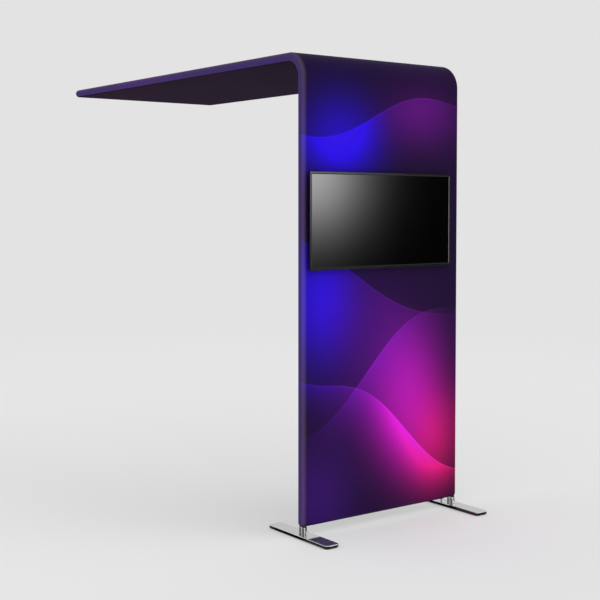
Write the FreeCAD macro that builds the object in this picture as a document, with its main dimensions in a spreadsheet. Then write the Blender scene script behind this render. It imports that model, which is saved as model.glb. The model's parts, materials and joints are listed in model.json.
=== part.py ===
import FreeCAD, Part
import math
import os
from types import SimpleNamespace

import Sketcher
from FreeCAD import Placement, Rotation, Vector

# Exhibit booth: a slip-together tube frame inside a stretch-fabric cover.
# An upright panel carries a flat screen on its front and bends over into a long canopy behind.
# +X runs to the viewer's right, +Y backwards under the canopy, +Z up; millimetres.
# The origin is on the floor, at the middle of the booth's footprint.

SIZES = {
    # fabric cover
    "cover_width": 1000,
    "cover_height": 2220,
    "canopy_reach": 2337,
    "skin_thickness": 0.7,
    "skin_gap": 0.3,
    # frame tubes
    "tube_diameter": 42,
    "tube_wall": 1.2,
    "bend_radius": 100,
    "upright_joint_height": 1050,
    "canopy_joint_reach": 800,
    # spigots that join the tubes
    "slip_fit": 0.2,
    "spigot_wall": 1.6,
    "spigot_length": 75,
    "shoulder_length": 26,
    # crossbars and their hooked end plugs
    "crossbar_diameter": 32,
    "crossbar_wall": 1.2,
    "crossbar_setback": 30,
    "lower_crossbar_height": 600,
    "screen_crossbar_spacing": 300,
    "canopy_front_crossbar_reach": 330,
    "canopy_middle_crossbar_reach": 1420,
    "plug_length": 35,
    "plug_bore": 18,
    "hook_neck_diameter": 8,
    "hook_head_diameter": 13,
    "hook_head_thickness": 3,
    "hook_slot_length": 12,
    "hook_clearance": 0.3,
    # spring-loaded snap buttons
    "button_diameter": 8,
    "button_stand": 3.5,
    "button_flange_diameter": 11,
    "button_flange_thickness": 1.5,
    "button_clearance": 0.15,
    "button_rounding": 1.5,
    "button_seat": 40,
    "spring_thickness": 0.6,
    "spring_width": 8,
    "spring_length": 30,
    "spring_pad_length": 5,
    # feet
    "foot_length": 460,
    "foot_width": 80,
    "foot_thickness": 16,
    "foot_corner_radius": 20,
    "foot_edge_radius": 4,
    "foot_base_radius": 5,
    "sole_thickness": 2,
    "sole_inset": 6,
    "post_spacing": 25,
    "post_diameter": 22,
    "post_length": 33,
    "tenon_diameter": 14,
    "tenon_length": 42,
    "tenon_lead_in": 2,
    "tenon_clearance": 0.1,
    "socket_width": 20,
    "socket_height": 13,
    "socket_clearance": 1,
    "foot_screw_diameter": 8,
    "foot_screw_head_diameter": 13,
    "foot_screw_head_height": 8,
    "foot_screw_recess": 9,
    "foot_screw_grip": 18,
    "foot_screw_clearance": 0.4,
    "foot_screw_key_diameter": 6,
    "foot_screw_key_depth": 4,
    # zip along the bottom hem
    "zip_end_margin": 75,
    "zip_width": 8,
    "zip_proud": 0.6,
    "zip_clearance": 0.3,
    "slider_length": 13,
    "slider_width": 10,
    "slider_thickness": 2.4,
    "slider_end_margin": 14,
    "slider_corner_radius": 3,
    "slider_ear_thickness": 1.4,
    "slider_ear_width": 5,
    "slider_pin_diameter": 1.6,
    "pull_length": 26,
    "pull_width": 7,
    "pull_thickness": 2.4,
    "pull_window_length": 8,
    "pull_window_width": 3,
    # flat screen
    "screen_width": 892,
    "screen_height": 460,
    "screen_depth": 20,
    "screen_bottom_height": 1253,
    "screen_offset": 25,
    "screen_gap": 3,
    "bezel_depth": 8,
    "bezel_lip": 2,
    "bezel_wall": 2.5,
    "bezel_side": 12,
    "bezel_bottom": 14,
    "bezel_corner_radius": 4,
    "bezel_edge_radius": 1,
    "bezel_slope_width": 4,
    "bezel_slope_depth": 1.2,
    "glass_thickness": 3,
    "glass_clearance": 0.5,
    "glass_bottom_room": 10,
    "chassis_depth": 4,
    "chassis_sheet": 1.2,
    "chassis_inset": 9,
    "rear_cover_wall": 2.2,
    "rear_cover_step": 6,
    "rear_cover_slope": 22,
    "hump_width": 620,
    "hump_height": 270,
    "hump_slope": 10,
    "hump_corner_radius": 12,
    "vent_length": 40,
    "vent_width": 3,
    "vent_pitch": 12,
    "board_width": 210,
    "board_height": 150,
    "board_spread": 250,
    "board_thickness": 1.6,
    "board_spacer_diameter": 8,
    "board_spacer_height": 4,
    "board_spacer_inset": 10,
    "speaker_width": 130,
    "speaker_height": 30,
    "speaker_depth": 6,
    "speaker_corner_radius": 5,
    "speaker_side_inset": 160,
    "speaker_bottom_inset": 110,
    "sensor_width": 14,
    "sensor_height": 4,
    "sensor_offset": 95,
    "sensor_clearance": 0.2,
    "key_diameter": 4,
    "key_flange_diameter": 5.4,
    "key_flange_thickness": 1.2,
    "key_stand": 1.5,
    "key_offset": 130,
    "key_clearance": 0.15,
    "inlet_width": 26,
    "inlet_height": 16,
    "inlet_depth": 5,
    "inlet_wall": 1.5,
    "inlet_recess": 12,
    "inlet_offset": 180,
    # keyhole plate and hanging studs of the screen
    "stud_spacing": 200,
    "stud_thread_diameter": 6,
    "stud_thread_length": 13,
    "stud_thread_clearance": 0.2,
    "stud_collar_diameter": 13,
    "stud_collar_thickness": 2.4,
    "stud_neck_diameter": 8,
    "stud_head_diameter": 15,
    "stud_head_thickness": 3,
    "stud_clearance": 0.4,
    "hang_lift": 18,
    "slit_margin": 1,
    "plate_thickness": 3,
    "plate_width": 270,
    "plate_height": 380,
    "plate_corner_radius": 15,
    "plate_window_width": 130,
    "plate_window_height": 150,
    "clamp_spread": 140,
    "clamp_width": 24,
    "clamp_thickness": 2.5,
    "clamp_flange": 14,
    "clamp_clearance": 0.1,
    "clamp_bolt_diameter": 6,
    "clamp_bolt_head_diameter": 10,
    "clamp_bolt_head_height": 4,
    "clamp_bolt_clearance": 0.2,
    # how far every cut runs past the wall it goes through
    "overrun": 5,
}

FULL_TURN = 360
QUARTER_TURN = 90

doc = FreeCAD.newDocument("exhibit_booth")
sheet = doc.addObject("Spreadsheet::Sheet", "sizes")
for row, (alias, value) in enumerate(SIZES.items(), start=1):
    sheet.set(f"A{row}", alias)
    sheet.set(f"B{row}", str(value))
    sheet.setAlias(f"B{row}", alias)
doc.recompute()

sub_parts = []
cuts = []


class Size:
    """A length worked out from the sheet's cells, held as the text of a formula."""

    def __init__(self, formula):
        self.formula = str(formula)

    def __add__(self, other):
        return Size(f"({self.formula} + {formula_of(other)})")

    def __radd__(self, other):
        return Size(f"({formula_of(other)} + {self.formula})")

    def __sub__(self, other):
        return Size(f"({self.formula} - {formula_of(other)})")

    def __rsub__(self, other):
        return Size(f"({formula_of(other)} - {self.formula})")

    def __mul__(self, other):
        return Size(f"({self.formula} * {formula_of(other)})")

    def __rmul__(self, other):
        return Size(f"({formula_of(other)} * {self.formula})")

    def __truediv__(self, other):
        return Size(f"({self.formula} / {formula_of(other)})")

    def __neg__(self):
        return Size(f"(0 - {self.formula})")

    @property
    def now(self):
        return float(sheet.evalExpression(self.formula))


def formula_of(value):
    return value.formula if isinstance(value, Size) else f"({value})"


def now(value):
    return value.now if isinstance(value, Size) else float(value)


def chord_depth(radius, half_width):
    """How far from a tube's axis its wall lies, half_width to the side of the middle."""
    return Size(f"sqrt({radius.formula} ^ 2 - {half_width.formula} ^ 2)")


dim = SimpleNamespace(**{alias: Size(f"sizes.{alias}") for alias in SIZES})

# Places that follow from the driving sizes
tube_radius = dim.tube_diameter / 2
tube_bore = tube_radius - dim.tube_wall
spigot_radius = tube_bore - dim.slip_fit
spigot_bore = spigot_radius - dim.spigot_wall
skin_inside = tube_radius + dim.skin_gap
skin_radius = skin_inside + dim.skin_thickness
crossbar_radius = dim.crossbar_diameter / 2
crossbar_bore = crossbar_radius - dim.crossbar_wall

panel_y = (dim.foot_length / 2 - dim.canopy_reach) / 2
foot_top = dim.sole_thickness + dim.foot_thickness
cover_bottom = foot_top + dim.post_length
bottom_axis = cover_bottom + skin_radius
canopy_axis = cover_bottom + dim.cover_height - skin_radius
tip_axis = dim.canopy_reach - skin_radius
side_spacing = dim.cover_width / 2 - skin_radius

screen_x = -dim.screen_offset
screen_y = panel_y - skin_radius - dim.screen_gap - dim.screen_depth
screen_z = dim.screen_bottom_height + dim.screen_height / 2
upper_bar_height = screen_z + dim.screen_crossbar_spacing / 2
lower_bar_height = screen_z - dim.screen_crossbar_spacing / 2

SIDES = (
    SimpleNamespace(name="left", x=-side_spacing, inward=1),
    SimpleNamespace(name="right", x=side_spacing, inward=-1),
)


# Drawing and building helpers

def new_body(label):
    body = doc.addObject("PartDesign::Body", label)
    body.Label = label
    return body


def sub_part(feature):
    sub_parts.append(feature)
    return feature


def place(body, x, y, z, turn=None):
    """Put a body at bound coordinates, turned by a fixed rotation."""
    if turn is not None:
        body.Placement = Placement(Vector(), turn)
    for axis, value in zip("xyz", (x, y, z)):
        body.setExpression(f"Placement.Base.{axis}", formula_of(value))


def axes_turn(x_axis, y_axis, z_axis):
    return Rotation(Vector(*x_axis), Vector(*y_axis), Vector(*z_axis), "ZYX")


def new_sketch(body, plane, offset=0):
    """A sketch on one of the body's own origin planes, moved along the plane's normal."""
    sketch = body.newObject("Sketcher::SketchObject", f"{body.Name}_sketch")
    support = next(item for item in body.Origin.OriginFeatures if item.Role == plane)
    sketch.AttachmentSupport = [(support, "")]
    sketch.MapMode = "FlatFace"
    sketch.setExpression("AttachmentOffset.Base.z", formula_of(offset))
    return sketch


def bind(sketch, kind, value, *where):
    index = sketch.addConstraint(Sketcher.Constraint(kind, *where, now(value)))
    sketch.setExpression(f"Constraints[{index}]", formula_of(value))


def pin(sketch, geometry, point, x, y):
    """Tie a point of the sketch to bound coordinates."""
    bind(sketch, "DistanceX", x, -1, 1, geometry, point)
    bind(sketch, "DistanceY", y, -1, 1, geometry, point)


def circle(sketch, x, y, radius):
    ring = Part.Circle(Vector(now(x), now(y), 0), Vector(0, 0, 1), now(radius))
    geometry = sketch.addGeometry(ring, False)
    bind(sketch, "Radius", radius, geometry)
    pin(sketch, geometry, 3, x, y)


def arc_station(sketch, x, y, radius, start, end):
    """An arc that starts and ends on its centre's upright or level line; returns its two ends."""
    centre = Vector(now(x), now(y), 0)
    low, high = min(start, end), max(start, end)
    whole = Part.Circle(centre, Vector(0, 0, 1), now(radius))
    arc = Part.ArcOfCircle(whole, math.radians(low), math.radians(high))
    geometry = sketch.addGeometry(arc, False)
    bind(sketch, "Radius", radius, geometry)
    pin(sketch, geometry, 3, x, y)
    for point, degrees in ((1, low), (2, high)):
        level = degrees % (2 * QUARTER_TURN) == 0
        kind = "Horizontal" if level else "Vertical"
        sketch.addConstraint(Sketcher.Constraint(kind, geometry, 3, geometry, point))
    ends = {low: ((geometry, 1), arc.StartPoint), high: ((geometry, 2), arc.EndPoint)}
    return ends[start], ends[end]


def loop(sketch, *stations):
    """A closed outline through points (x, y) and arcs (x, y, radius, from, to), joined by lines."""
    ends = []
    for station in stations:
        if len(station) == 2:
            place_now = Vector(now(station[0]), now(station[1]), 0)
            ends.append(((None, place_now), (None, place_now), station))
        else:
            ends.append((*arc_station(sketch, *station), None))
    corners = {}
    for index, (_, leaving, corner) in enumerate(ends):
        following = (index + 1) % len(ends)
        arriving, _, next_corner = ends[following]
        line = sketch.addGeometry(Part.LineSegment(leaving[1], arriving[1]), False)
        if corner is None:
            sketch.addConstraint(Sketcher.Constraint("Coincident", line, 1, *leaving[0]))
        else:
            corners.setdefault(index, []).append((line, 1))
        if next_corner is None:
            sketch.addConstraint(Sketcher.Constraint("Coincident", line, 2, *arriving[0]))
        else:
            corners.setdefault(following, []).append((line, 2))
    for index, ((line, point), (other, other_point)) in corners.items():
        pin(sketch, line, point, *stations[index])
        sketch.addConstraint(Sketcher.Constraint("Coincident", other, other_point, line, point))


def rectangle(sketch, width, height, x=0, y=0):
    loop(sketch, (x - width / 2, y - height / 2), (x + width / 2, y - height / 2),
         (x + width / 2, y + height / 2), (x - width / 2, y + height / 2))


def rounded_rectangle(sketch, width, height, radius):
    reach_x = width / 2 - radius
    reach_y = height / 2 - radius
    loop(sketch, (-reach_x, -reach_y, radius, 180, 270),
         (reach_x, -reach_y, radius, 270, 360),
         (reach_x, reach_y, radius, 0, 90),
         (-reach_x, reach_y, radius, 90, 180))


def level_slot(sketch, x_start, x_end, y, radius):
    loop(sketch, (x_end, y, radius, -90, 90), (x_start, y, radius, 90, 270))


def upright_slot(sketch, x, y_start, y_end, radius):
    loop(sketch, (x, y_end, radius, 0, 180), (x, y_start, radius, 180, 360))


def pad(body, sketch, length, along=1):
    """Extrude along the sketch's normal, or against it."""
    feature = body.newObject("PartDesign::Pad", f"{body.Name}_pad")
    feature.Profile = sketch
    feature.setExpression("Length", formula_of(length))
    feature.Reversed = along < 0
    return feature


def pocket(body, sketch, length, along=-1):
    """Cut along the sketch's normal, or against it."""
    feature = body.newObject("PartDesign::Pocket", f"{body.Name}_pocket")
    feature.Profile = sketch
    feature.setExpression("Length", formula_of(length))
    feature.Reversed = along > 0
    cuts.append(feature)
    return feature


def revolve(body, sketch, axis="V_Axis", angle=FULL_TURN, reverse=False):
    feature = body.newObject("PartDesign::Revolution", f"{body.Name}_revolution")
    feature.Profile = sketch
    feature.ReferenceAxis = (sketch, [axis])
    feature.Angle = angle
    feature.Reversed = reverse


def pipe(body, profile, path):
    """Carry a profile along all the edges of a path."""
    doc.recompute()
    feature = body.newObject("PartDesign::AdditivePipe", f"{body.Name}_pipe")
    feature.Profile = profile
    feature.Spine = (path, [f"Edge{number}" for number in range(1, len(path.Shape.Edges) + 1)])


def loft(body, kind, first, second):
    feature = body.newObject(f"PartDesign::{kind}", f"{body.Name}_loft")
    feature.Profile = first
    feature.Sections = [second]


def fillet(body, feature, radius, chosen):
    """Round the edges of the body's last feature that the test picks out."""
    doc.recompute()
    edges = [f"Edge{number}" for number, edge in enumerate(feature.Shape.Edges, start=1) if chosen(edge)]
    rounding = body.newObject("PartDesign::Fillet", f"{body.Name}_fillet")
    rounding.Base = (feature, edges)
    rounding.setExpression("Radius", formula_of(radius))
    return rounding


def group(label, pattern, placements):
    """One node of separate, equal solids."""
    doc.recompute()
    feature = doc.addObject("Part::Feature", label)
    feature.Label = label
    copies = []
    for placement in placements:
        copy = pattern.Shape.copy()
        copy.Placement = placement.multiply(pattern.Placement)
        copies.append(copy)
    feature.Shape = Part.Compound(copies)
    return sub_part(feature)


def spot(x, y, z, turn=None):
    return Placement(Vector(now(x), now(y), now(z)), turn or Rotation())


def ring_sketch(body, plane, offset, outside, inside, x=0, y=0):
    sketch = new_sketch(body, plane, offset)
    circle(sketch, x, y, outside)
    circle(sketch, x, y, inside)
    return sketch


def bent_path(body, start_height, end_reach):
    """Up the panel's middle plane, round the bend and back along the canopy."""
    path = new_sketch(body, "YZ_Plane")
    bend_start = canopy_axis - dim.bend_radius
    rise = Part.LineSegment(Vector(0, now(start_height), 0), Vector(0, now(bend_start), 0))
    run = Part.LineSegment(Vector(now(dim.bend_radius), now(canopy_axis), 0),
                           Vector(now(end_reach), now(canopy_axis), 0))
    rise = path.addGeometry(rise, False)
    leaving, arriving = arc_station(path, dim.bend_radius, bend_start, dim.bend_radius, 180, 90)
    run = path.addGeometry(run, False)
    pin(path, rise, 1, 0, start_height)
    pin(path, run, 2, end_reach, canopy_axis)
    path.addConstraint(Sketcher.Constraint("Coincident", rise, 2, *leaving[0]))
    path.addConstraint(Sketcher.Constraint("Coincident", run, 1, *arriving[0]))
    return path


# Frame tubes

def side_holes(body, side, hooks, buttons):
    """Keyholes for crossbar hooks and round holes for snap buttons, through the inner wall only.

    A hook is (y, z, direction of its wide end); a button is (y, z)."""
    reach = tube_radius + dim.overrun
    wide = new_sketch(body, "YZ_Plane")
    narrow = new_sketch(body, "YZ_Plane")
    neck = dim.hook_neck_diameter / 2 + dim.hook_clearance
    for y, z, direction in hooks:
        if direction == "up":
            circle(wide, y, z + dim.hook_slot_length, dim.hook_head_diameter / 2 + dim.hook_clearance)
            upright_slot(narrow, y, z, z + dim.hook_slot_length, neck)
        else:
            circle(wide, y + dim.hook_slot_length, z, dim.hook_head_diameter / 2 + dim.hook_clearance)
            level_slot(narrow, y, y + dim.hook_slot_length, z, neck)
    for y, z in buttons:
        circle(wide, y, z, dim.button_diameter / 2 + 2 * dim.button_clearance)
    pocket(body, wide, reach, side.inward)
    pocket(body, narrow, reach, side.inward)


lower_upright_start = bottom_axis + dim.shoulder_length
corner_button_height = lower_upright_start + dim.button_seat
upright_button_height = dim.upright_joint_height + dim.button_seat
canopy_button_reach = dim.canopy_joint_reach + dim.button_seat
canopy_rail_end = tip_axis - dim.shoulder_length
tip_button_reach = canopy_rail_end - dim.button_seat

for side in SIDES:
    upright = new_body(f"{side.name}_lower_upright")
    pad(upright, ring_sketch(upright, "XY_Plane", lower_upright_start, tube_radius, tube_bore),
        dim.upright_joint_height - lower_upright_start)
    side_holes(upright, side, [(0, dim.lower_crossbar_height, "up")], [(0, corner_button_height)])
    place(upright, side.x, panel_y, 0)
    sub_part(upright)

    bend = new_body(f"{side.name}_bend_tube")
    profile = ring_sketch(bend, "XY_Plane", dim.upright_joint_height, tube_radius, tube_bore)
    pipe(bend, profile, bent_path(bend, dim.upright_joint_height, dim.canopy_joint_reach))
    side_holes(bend, side, [(0, lower_bar_height, "up"), (0, upper_bar_height, "up"),
                            (dim.canopy_front_crossbar_reach, canopy_axis, "back")],
               [(0, upright_button_height)])
    place(bend, side.x, panel_y, 0)
    sub_part(bend)

    rail = new_body(f"{side.name}_canopy_rail")
    profile = ring_sketch(rail, "XZ_Plane", -dim.canopy_joint_reach, tube_radius, tube_bore, 0, canopy_axis)
    pad(rail, profile, canopy_rail_end - dim.canopy_joint_reach, -1)
    side_holes(rail, side, [(dim.canopy_middle_crossbar_reach, canopy_axis, "back")],
               [(canopy_button_reach, canopy_axis), (tip_button_reach, canopy_axis)])
    place(rail, side.x, panel_y, 0)
    sub_part(rail)


# Spigots inside the tube joints

def button_bore(body, plane, x, y, along):
    hole = new_sketch(body, plane)
    circle(hole, x, y, dim.button_diameter / 2 + dim.button_clearance)
    pocket(body, hole, tube_radius + dim.overrun, along)


for side in SIDES:
    splice = new_body(f"{side.name}_upright_splice")
    pad(splice, ring_sketch(splice, "XY_Plane", dim.upright_joint_height - dim.spigot_length,
                            spigot_radius, spigot_bore), 2 * dim.spigot_length)
    button_bore(splice, "YZ_Plane", 0, upright_button_height, side.inward)
    place(splice, side.x, panel_y, 0)
    sub_part(splice)

    splice = new_body(f"{side.name}_canopy_splice")
    pad(splice, ring_sketch(splice, "XZ_Plane", dim.spigot_length - dim.canopy_joint_reach,
                            spigot_radius, spigot_bore, 0, canopy_axis), 2 * dim.spigot_length, -1)
    button_bore(splice, "YZ_Plane", canopy_button_reach, canopy_axis, side.inward)
    place(splice, side.x, panel_y, 0)
    sub_part(splice)


# Corner castings; in their own axes one arm points along +X and one along +Z

def corner(label, has_socket):
    body = new_body(label)
    ball = new_sketch(body, "XZ_Plane")
    loop(ball, (0, 0, tube_radius, -90, 90))
    revolve(body, ball)
    spigot_end = dim.shoulder_length + dim.spigot_length
    for plane in ("XY_Plane", "YZ_Plane"):
        shoulder = new_sketch(body, plane)
        circle(shoulder, 0, 0, tube_radius)
        pad(body, shoulder, dim.shoulder_length)
        spigot = new_sketch(body, plane)
        circle(spigot, 0, 0, spigot_radius)
        pad(body, spigot, spigot_end)
        bore = new_sketch(body, plane, spigot_end)
        circle(bore, 0, 0, spigot_bore)
        pocket(body, bore, dim.spigot_length)
    if has_socket:
        end_radius = dim.socket_width / 2
        end_centre = tube_radius - end_radius
        socket = new_sketch(body, "XY_Plane", -skin_radius)
        upright_slot(socket, 0, -end_centre, end_centre, end_radius)
        pad(body, socket, dim.socket_height)
        bores = new_sketch(body, "XY_Plane", -skin_radius)
        bore_radius = dim.tenon_diameter / 2 + dim.tenon_clearance
        for direction in (-1, 1):
            circle(bores, 0, direction * dim.post_spacing / 2, bore_radius)
        pocket(body, bores, dim.tenon_length + dim.tenon_lead_in, 1)
    button_bore(body, "YZ_Plane", 0, dim.shoulder_length + dim.button_seat, 1)
    return sub_part(body)


UPRIGHT_TURNS = {
    "left": axes_turn((1, 0, 0), (0, 1, 0), (0, 0, 1)),
    "right": axes_turn((-1, 0, 0), (0, -1, 0), (0, 0, 1)),
}
TIP_TURNS = {
    "left": axes_turn((1, 0, 0), (0, 0, 1), (0, -1, 0)),
    "right": axes_turn((-1, 0, 0), (0, 0, -1), (0, -1, 0)),
}
for side in SIDES:
    place(corner(f"bottom_{side.name}_corner", True), side.x, panel_y, bottom_axis,
          UPRIGHT_TURNS[side.name])
    place(corner(f"tip_{side.name}_corner", False), side.x, panel_y + tip_axis, canopy_axis,
          TIP_TURNS[side.name])


# Crossbars

def crossbar(label, y, z, outside, inside, setback):
    body = new_body(label)
    length = 2 * (side_spacing - setback)
    pad(body, ring_sketch(body, "YZ_Plane", -length / 2, outside, inside), length)
    place(body, 0, panel_y + y, z)
    sub_part(body)


crossbar("bottom_crossbar", 0, bottom_axis, tube_radius, tube_bore, dim.shoulder_length)
crossbar("canopy_end_crossbar", tip_axis, canopy_axis, tube_radius, tube_bore, dim.shoulder_length)
HOOKED_BARS = (
    ("lower_crossbar", 0, dim.lower_crossbar_height),
    ("lower_screen_crossbar", 0, lower_bar_height),
    ("upper_screen_crossbar", 0, upper_bar_height),
    ("canopy_front_crossbar", dim.canopy_front_crossbar_reach, canopy_axis),
    ("canopy_middle_crossbar", dim.canopy_middle_crossbar_reach, canopy_axis),
)
for label, y, z in HOOKED_BARS:
    crossbar(label, y, z, crossbar_radius, crossbar_bore, dim.crossbar_setback)

# End plug of a crossbar: the side tube's axis is its own Y axis, the bar lies along -Z
end_plug = new_body("end_plug_pattern")
barrel_end = dim.crossbar_setback + dim.plug_length
turned = new_sketch(end_plug, "XZ_Plane")
plug_radius = crossbar_bore - dim.slip_fit
loop(turned, (0, 0), (crossbar_radius, 0), (crossbar_radius, -dim.crossbar_setback),
     (plug_radius, -dim.crossbar_setback), (plug_radius, -barrel_end),
     (dim.plug_bore / 2, -barrel_end), (dim.plug_bore / 2, -dim.crossbar_setback),
     (0, -dim.crossbar_setback))
revolve(end_plug, turned)
saddle = new_sketch(end_plug, "XZ_Plane", -crossbar_radius - dim.overrun)
circle(saddle, 0, 0, tube_radius + dim.slip_fit)
pocket(end_plug, saddle, dim.crossbar_diameter + 2 * dim.overrun, 1)
hook = new_sketch(end_plug, "XZ_Plane")
hook_seat = chord_depth(tube_bore, dim.hook_head_diameter / 2) - dim.hook_clearance
hook_neck = dim.hook_neck_diameter / 2
hook_head = dim.hook_head_diameter / 2
hook_root = tube_radius + dim.overrun
hook_top = dim.hook_head_thickness - hook_seat
loop(hook, (0, -hook_root), (hook_neck, -hook_root), (hook_neck, -hook_seat),
     (hook_head, -hook_seat), (hook_head, hook_top), (0, hook_top))
revolve(end_plug, hook)

plug_places = []
for label, y, z in HOOKED_BARS:
    for side in SIDES:
        outward = -side.inward
        if label.startswith("canopy"):
            turn = axes_turn((0, 0, -outward), (0, 1, 0), (outward, 0, 0))
        else:
            turn = axes_turn((0, outward, 0), (0, 0, 1), (outward, 0, 0))
        plug_places.append(spot(side.x, panel_y + y, z, turn))
group("crossbar_end_plugs", end_plug, plug_places)


# Snap buttons and their leaf springs; the button's own Z axis points out through the wall

button_base = chord_depth(spigot_bore, dim.button_flange_diameter / 2) - dim.button_clearance
button_back = button_base - dim.button_flange_thickness
button_top = tube_radius + dim.button_stand


def snap_button(label):
    body = new_body(label)
    outline = new_sketch(body, "XZ_Plane")
    flange = dim.button_flange_diameter / 2
    stem = dim.button_diameter / 2
    crown = dim.button_rounding
    loop(outline, (0, button_back), (flange, button_back), (flange, button_base), (stem, button_base),
         (stem - crown, button_top - crown, crown, 0, 90), (0, button_top))
    revolve(body, outline)
    return sub_part(body)


leaf_spring = new_body("leaf_spring_pattern")
leaf = new_sketch(leaf_spring, "XZ_Plane", -dim.spring_width / 2)
far_wall = chord_depth(spigot_bore, dim.spring_width / 2) - dim.button_clearance
front_leaf = button_back - dim.button_clearance
rear_leaf = dim.spring_thickness - far_wall
front_back = front_leaf - dim.spring_thickness
inner_fold = 3 * dim.spring_thickness - dim.spring_length
loop(leaf, (dim.spring_pad_length, front_leaf), (-dim.spring_pad_length, front_leaf),
     (-dim.spring_length, 0), (-dim.spring_pad_length, -far_wall), (dim.spring_pad_length, -far_wall),
     (dim.spring_pad_length, rear_leaf), (-dim.spring_pad_length, rear_leaf), (inner_fold, 0),
     (-dim.spring_pad_length, front_back), (dim.spring_pad_length, front_back))
pad(leaf_spring, leaf, dim.spring_width)

BUTTON_SEATS = (
    ("bottom", 0, corner_button_height, (0, 0, 1)),
    ("upright", 0, upright_button_height, (0, 0, 1)),
    ("canopy", canopy_button_reach, canopy_axis, (0, 1, 0)),
    ("tip", tip_button_reach, canopy_axis, (0, -1, 0)),
)
spring_places = []
for seat, y, z, tube_direction in BUTTON_SEATS:
    for side in SIDES:
        inward = Vector(side.inward, 0, 0)
        along = Vector(*tube_direction)
        turn = Rotation(along, inward.cross(along), inward, "ZYX")
        place(snap_button(f"{seat}_{side.name}_snap_button"), side.x, panel_y + y, z, turn)
        spring_places.append(spot(side.x, panel_y + y, z, turn))
group("snap_button_springs", leaf_spring, spring_places)


# Feet: plates, twin posts, their screws and the soles

POST_DIRECTIONS = (-1, 1)

foot_post = new_body("foot_post_pattern")
turned = new_sketch(foot_post, "XZ_Plane")
tenon = dim.tenon_diameter / 2
thread = dim.foot_screw_diameter / 2
tenon_top = dim.post_length + dim.tenon_length
loop(turned, (thread, 0), (dim.post_diameter / 2, 0), (dim.post_diameter / 2, dim.post_length),
     (tenon, dim.post_length), (tenon, tenon_top - dim.tenon_lead_in),
     (tenon - dim.tenon_lead_in, tenon_top), (0, tenon_top), (0, dim.foot_screw_grip),
     (thread, dim.foot_screw_grip))
revolve(foot_post, turned)

foot_screw = new_body("foot_screw_pattern")
turned = new_sketch(foot_screw, "XZ_Plane")
shank = thread - dim.tenon_clearance
head = dim.foot_screw_head_diameter / 2
key = dim.foot_screw_key_diameter / 2
head_bottom = dim.foot_screw_recess - dim.foot_screw_head_height
shank_top = dim.foot_thickness + dim.foot_screw_grip - dim.tenon_lead_in
key_top = head_bottom + dim.foot_screw_key_depth
loop(turned, (0, key_top), (key, key_top), (key, head_bottom), (head, head_bottom),
     (head, dim.foot_screw_recess), (shank, dim.foot_screw_recess), (shank, shank_top), (0, shank_top))
revolve(foot_screw, turned)

for side in SIDES:
    sole = new_body(f"{side.name}_foot_sole")
    outline = new_sketch(sole, "XY_Plane")
    rounded_rectangle(outline, dim.foot_width - 2 * dim.sole_inset,
                      dim.foot_length - 2 * dim.sole_inset, dim.foot_corner_radius - dim.sole_inset)
    pad(sole, outline, dim.sole_thickness)
    place(sole, side.x, panel_y, 0)
    sub_part(sole)

    plate = new_body(f"{side.name}_foot_plate")
    outline = new_sketch(plate, "XY_Plane")
    rounded_rectangle(outline, dim.foot_width, dim.foot_length, dim.foot_corner_radius)
    slab = pad(plate, outline, dim.foot_thickness)
    half_way = now(dim.foot_thickness / 2)
    slab = fillet(plate, slab, dim.foot_edge_radius,
                  lambda edge: min(vertex.Z for vertex in edge.Vertexes) > half_way)
    fillet(plate, slab, dim.foot_base_radius,
           lambda edge: max(vertex.Z for vertex in edge.Vertexes) < half_way)
    recesses = new_sketch(plate, "XY_Plane")
    holes = new_sketch(plate, "XY_Plane")
    for direction in POST_DIRECTIONS:
        y = direction * dim.post_spacing / 2
        circle(recesses, 0, y, head + dim.foot_screw_clearance)
        circle(holes, 0, y, thread + dim.foot_screw_clearance)
    pocket(plate, recesses, dim.foot_screw_recess, 1)
    pocket(plate, holes, dim.foot_thickness + dim.overrun, 1)
    place(plate, side.x, panel_y, dim.sole_thickness)
    sub_part(plate)

    group(f"{side.name}_foot_posts", foot_post,
          [spot(side.x, panel_y + direction * dim.post_spacing / 2, foot_top)
           for direction in POST_DIRECTIONS])
group("foot_screws", foot_screw,
      [spot(side.x, panel_y + direction * dim.post_spacing / 2, dim.sole_thickness)
       for side in SIDES for direction in POST_DIRECTIONS])


# Fabric cover: two sheets sewn together along the middle of the edges

zip_length = dim.cover_width - 2 * dim.zip_end_margin
stud_reach = dim.stud_spacing / 2


def half_section(sketch, facing, middle=0):
    """Half of the cover's rounded section, below (-1) or above (1) its middle line in the sketch."""
    edge, face, far_edge = (180, 270, 360) if facing < 0 else (180, 90, 0)
    loop(sketch, (-side_spacing, middle, skin_radius, edge, face),
         (side_spacing, middle, skin_radius, face, far_edge),
         (side_spacing, middle, skin_inside, far_edge, face),
         (-side_spacing, middle, skin_inside, face, edge))


def end_cap(body, sketch, middle, reverse):
    """Turn a half section a quarter round its own middle line, to close the end of a sheet."""
    axis = Part.LineSegment(Vector(now(-side_spacing), now(middle), 0),
                            Vector(now(side_spacing), now(middle), 0))
    line = sketch.addGeometry(axis, True)
    pin(sketch, line, 1, -side_spacing, middle)
    pin(sketch, line, 2, side_spacing, middle)
    revolve(body, sketch, "Axis0", QUARTER_TURN, reverse)


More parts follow.
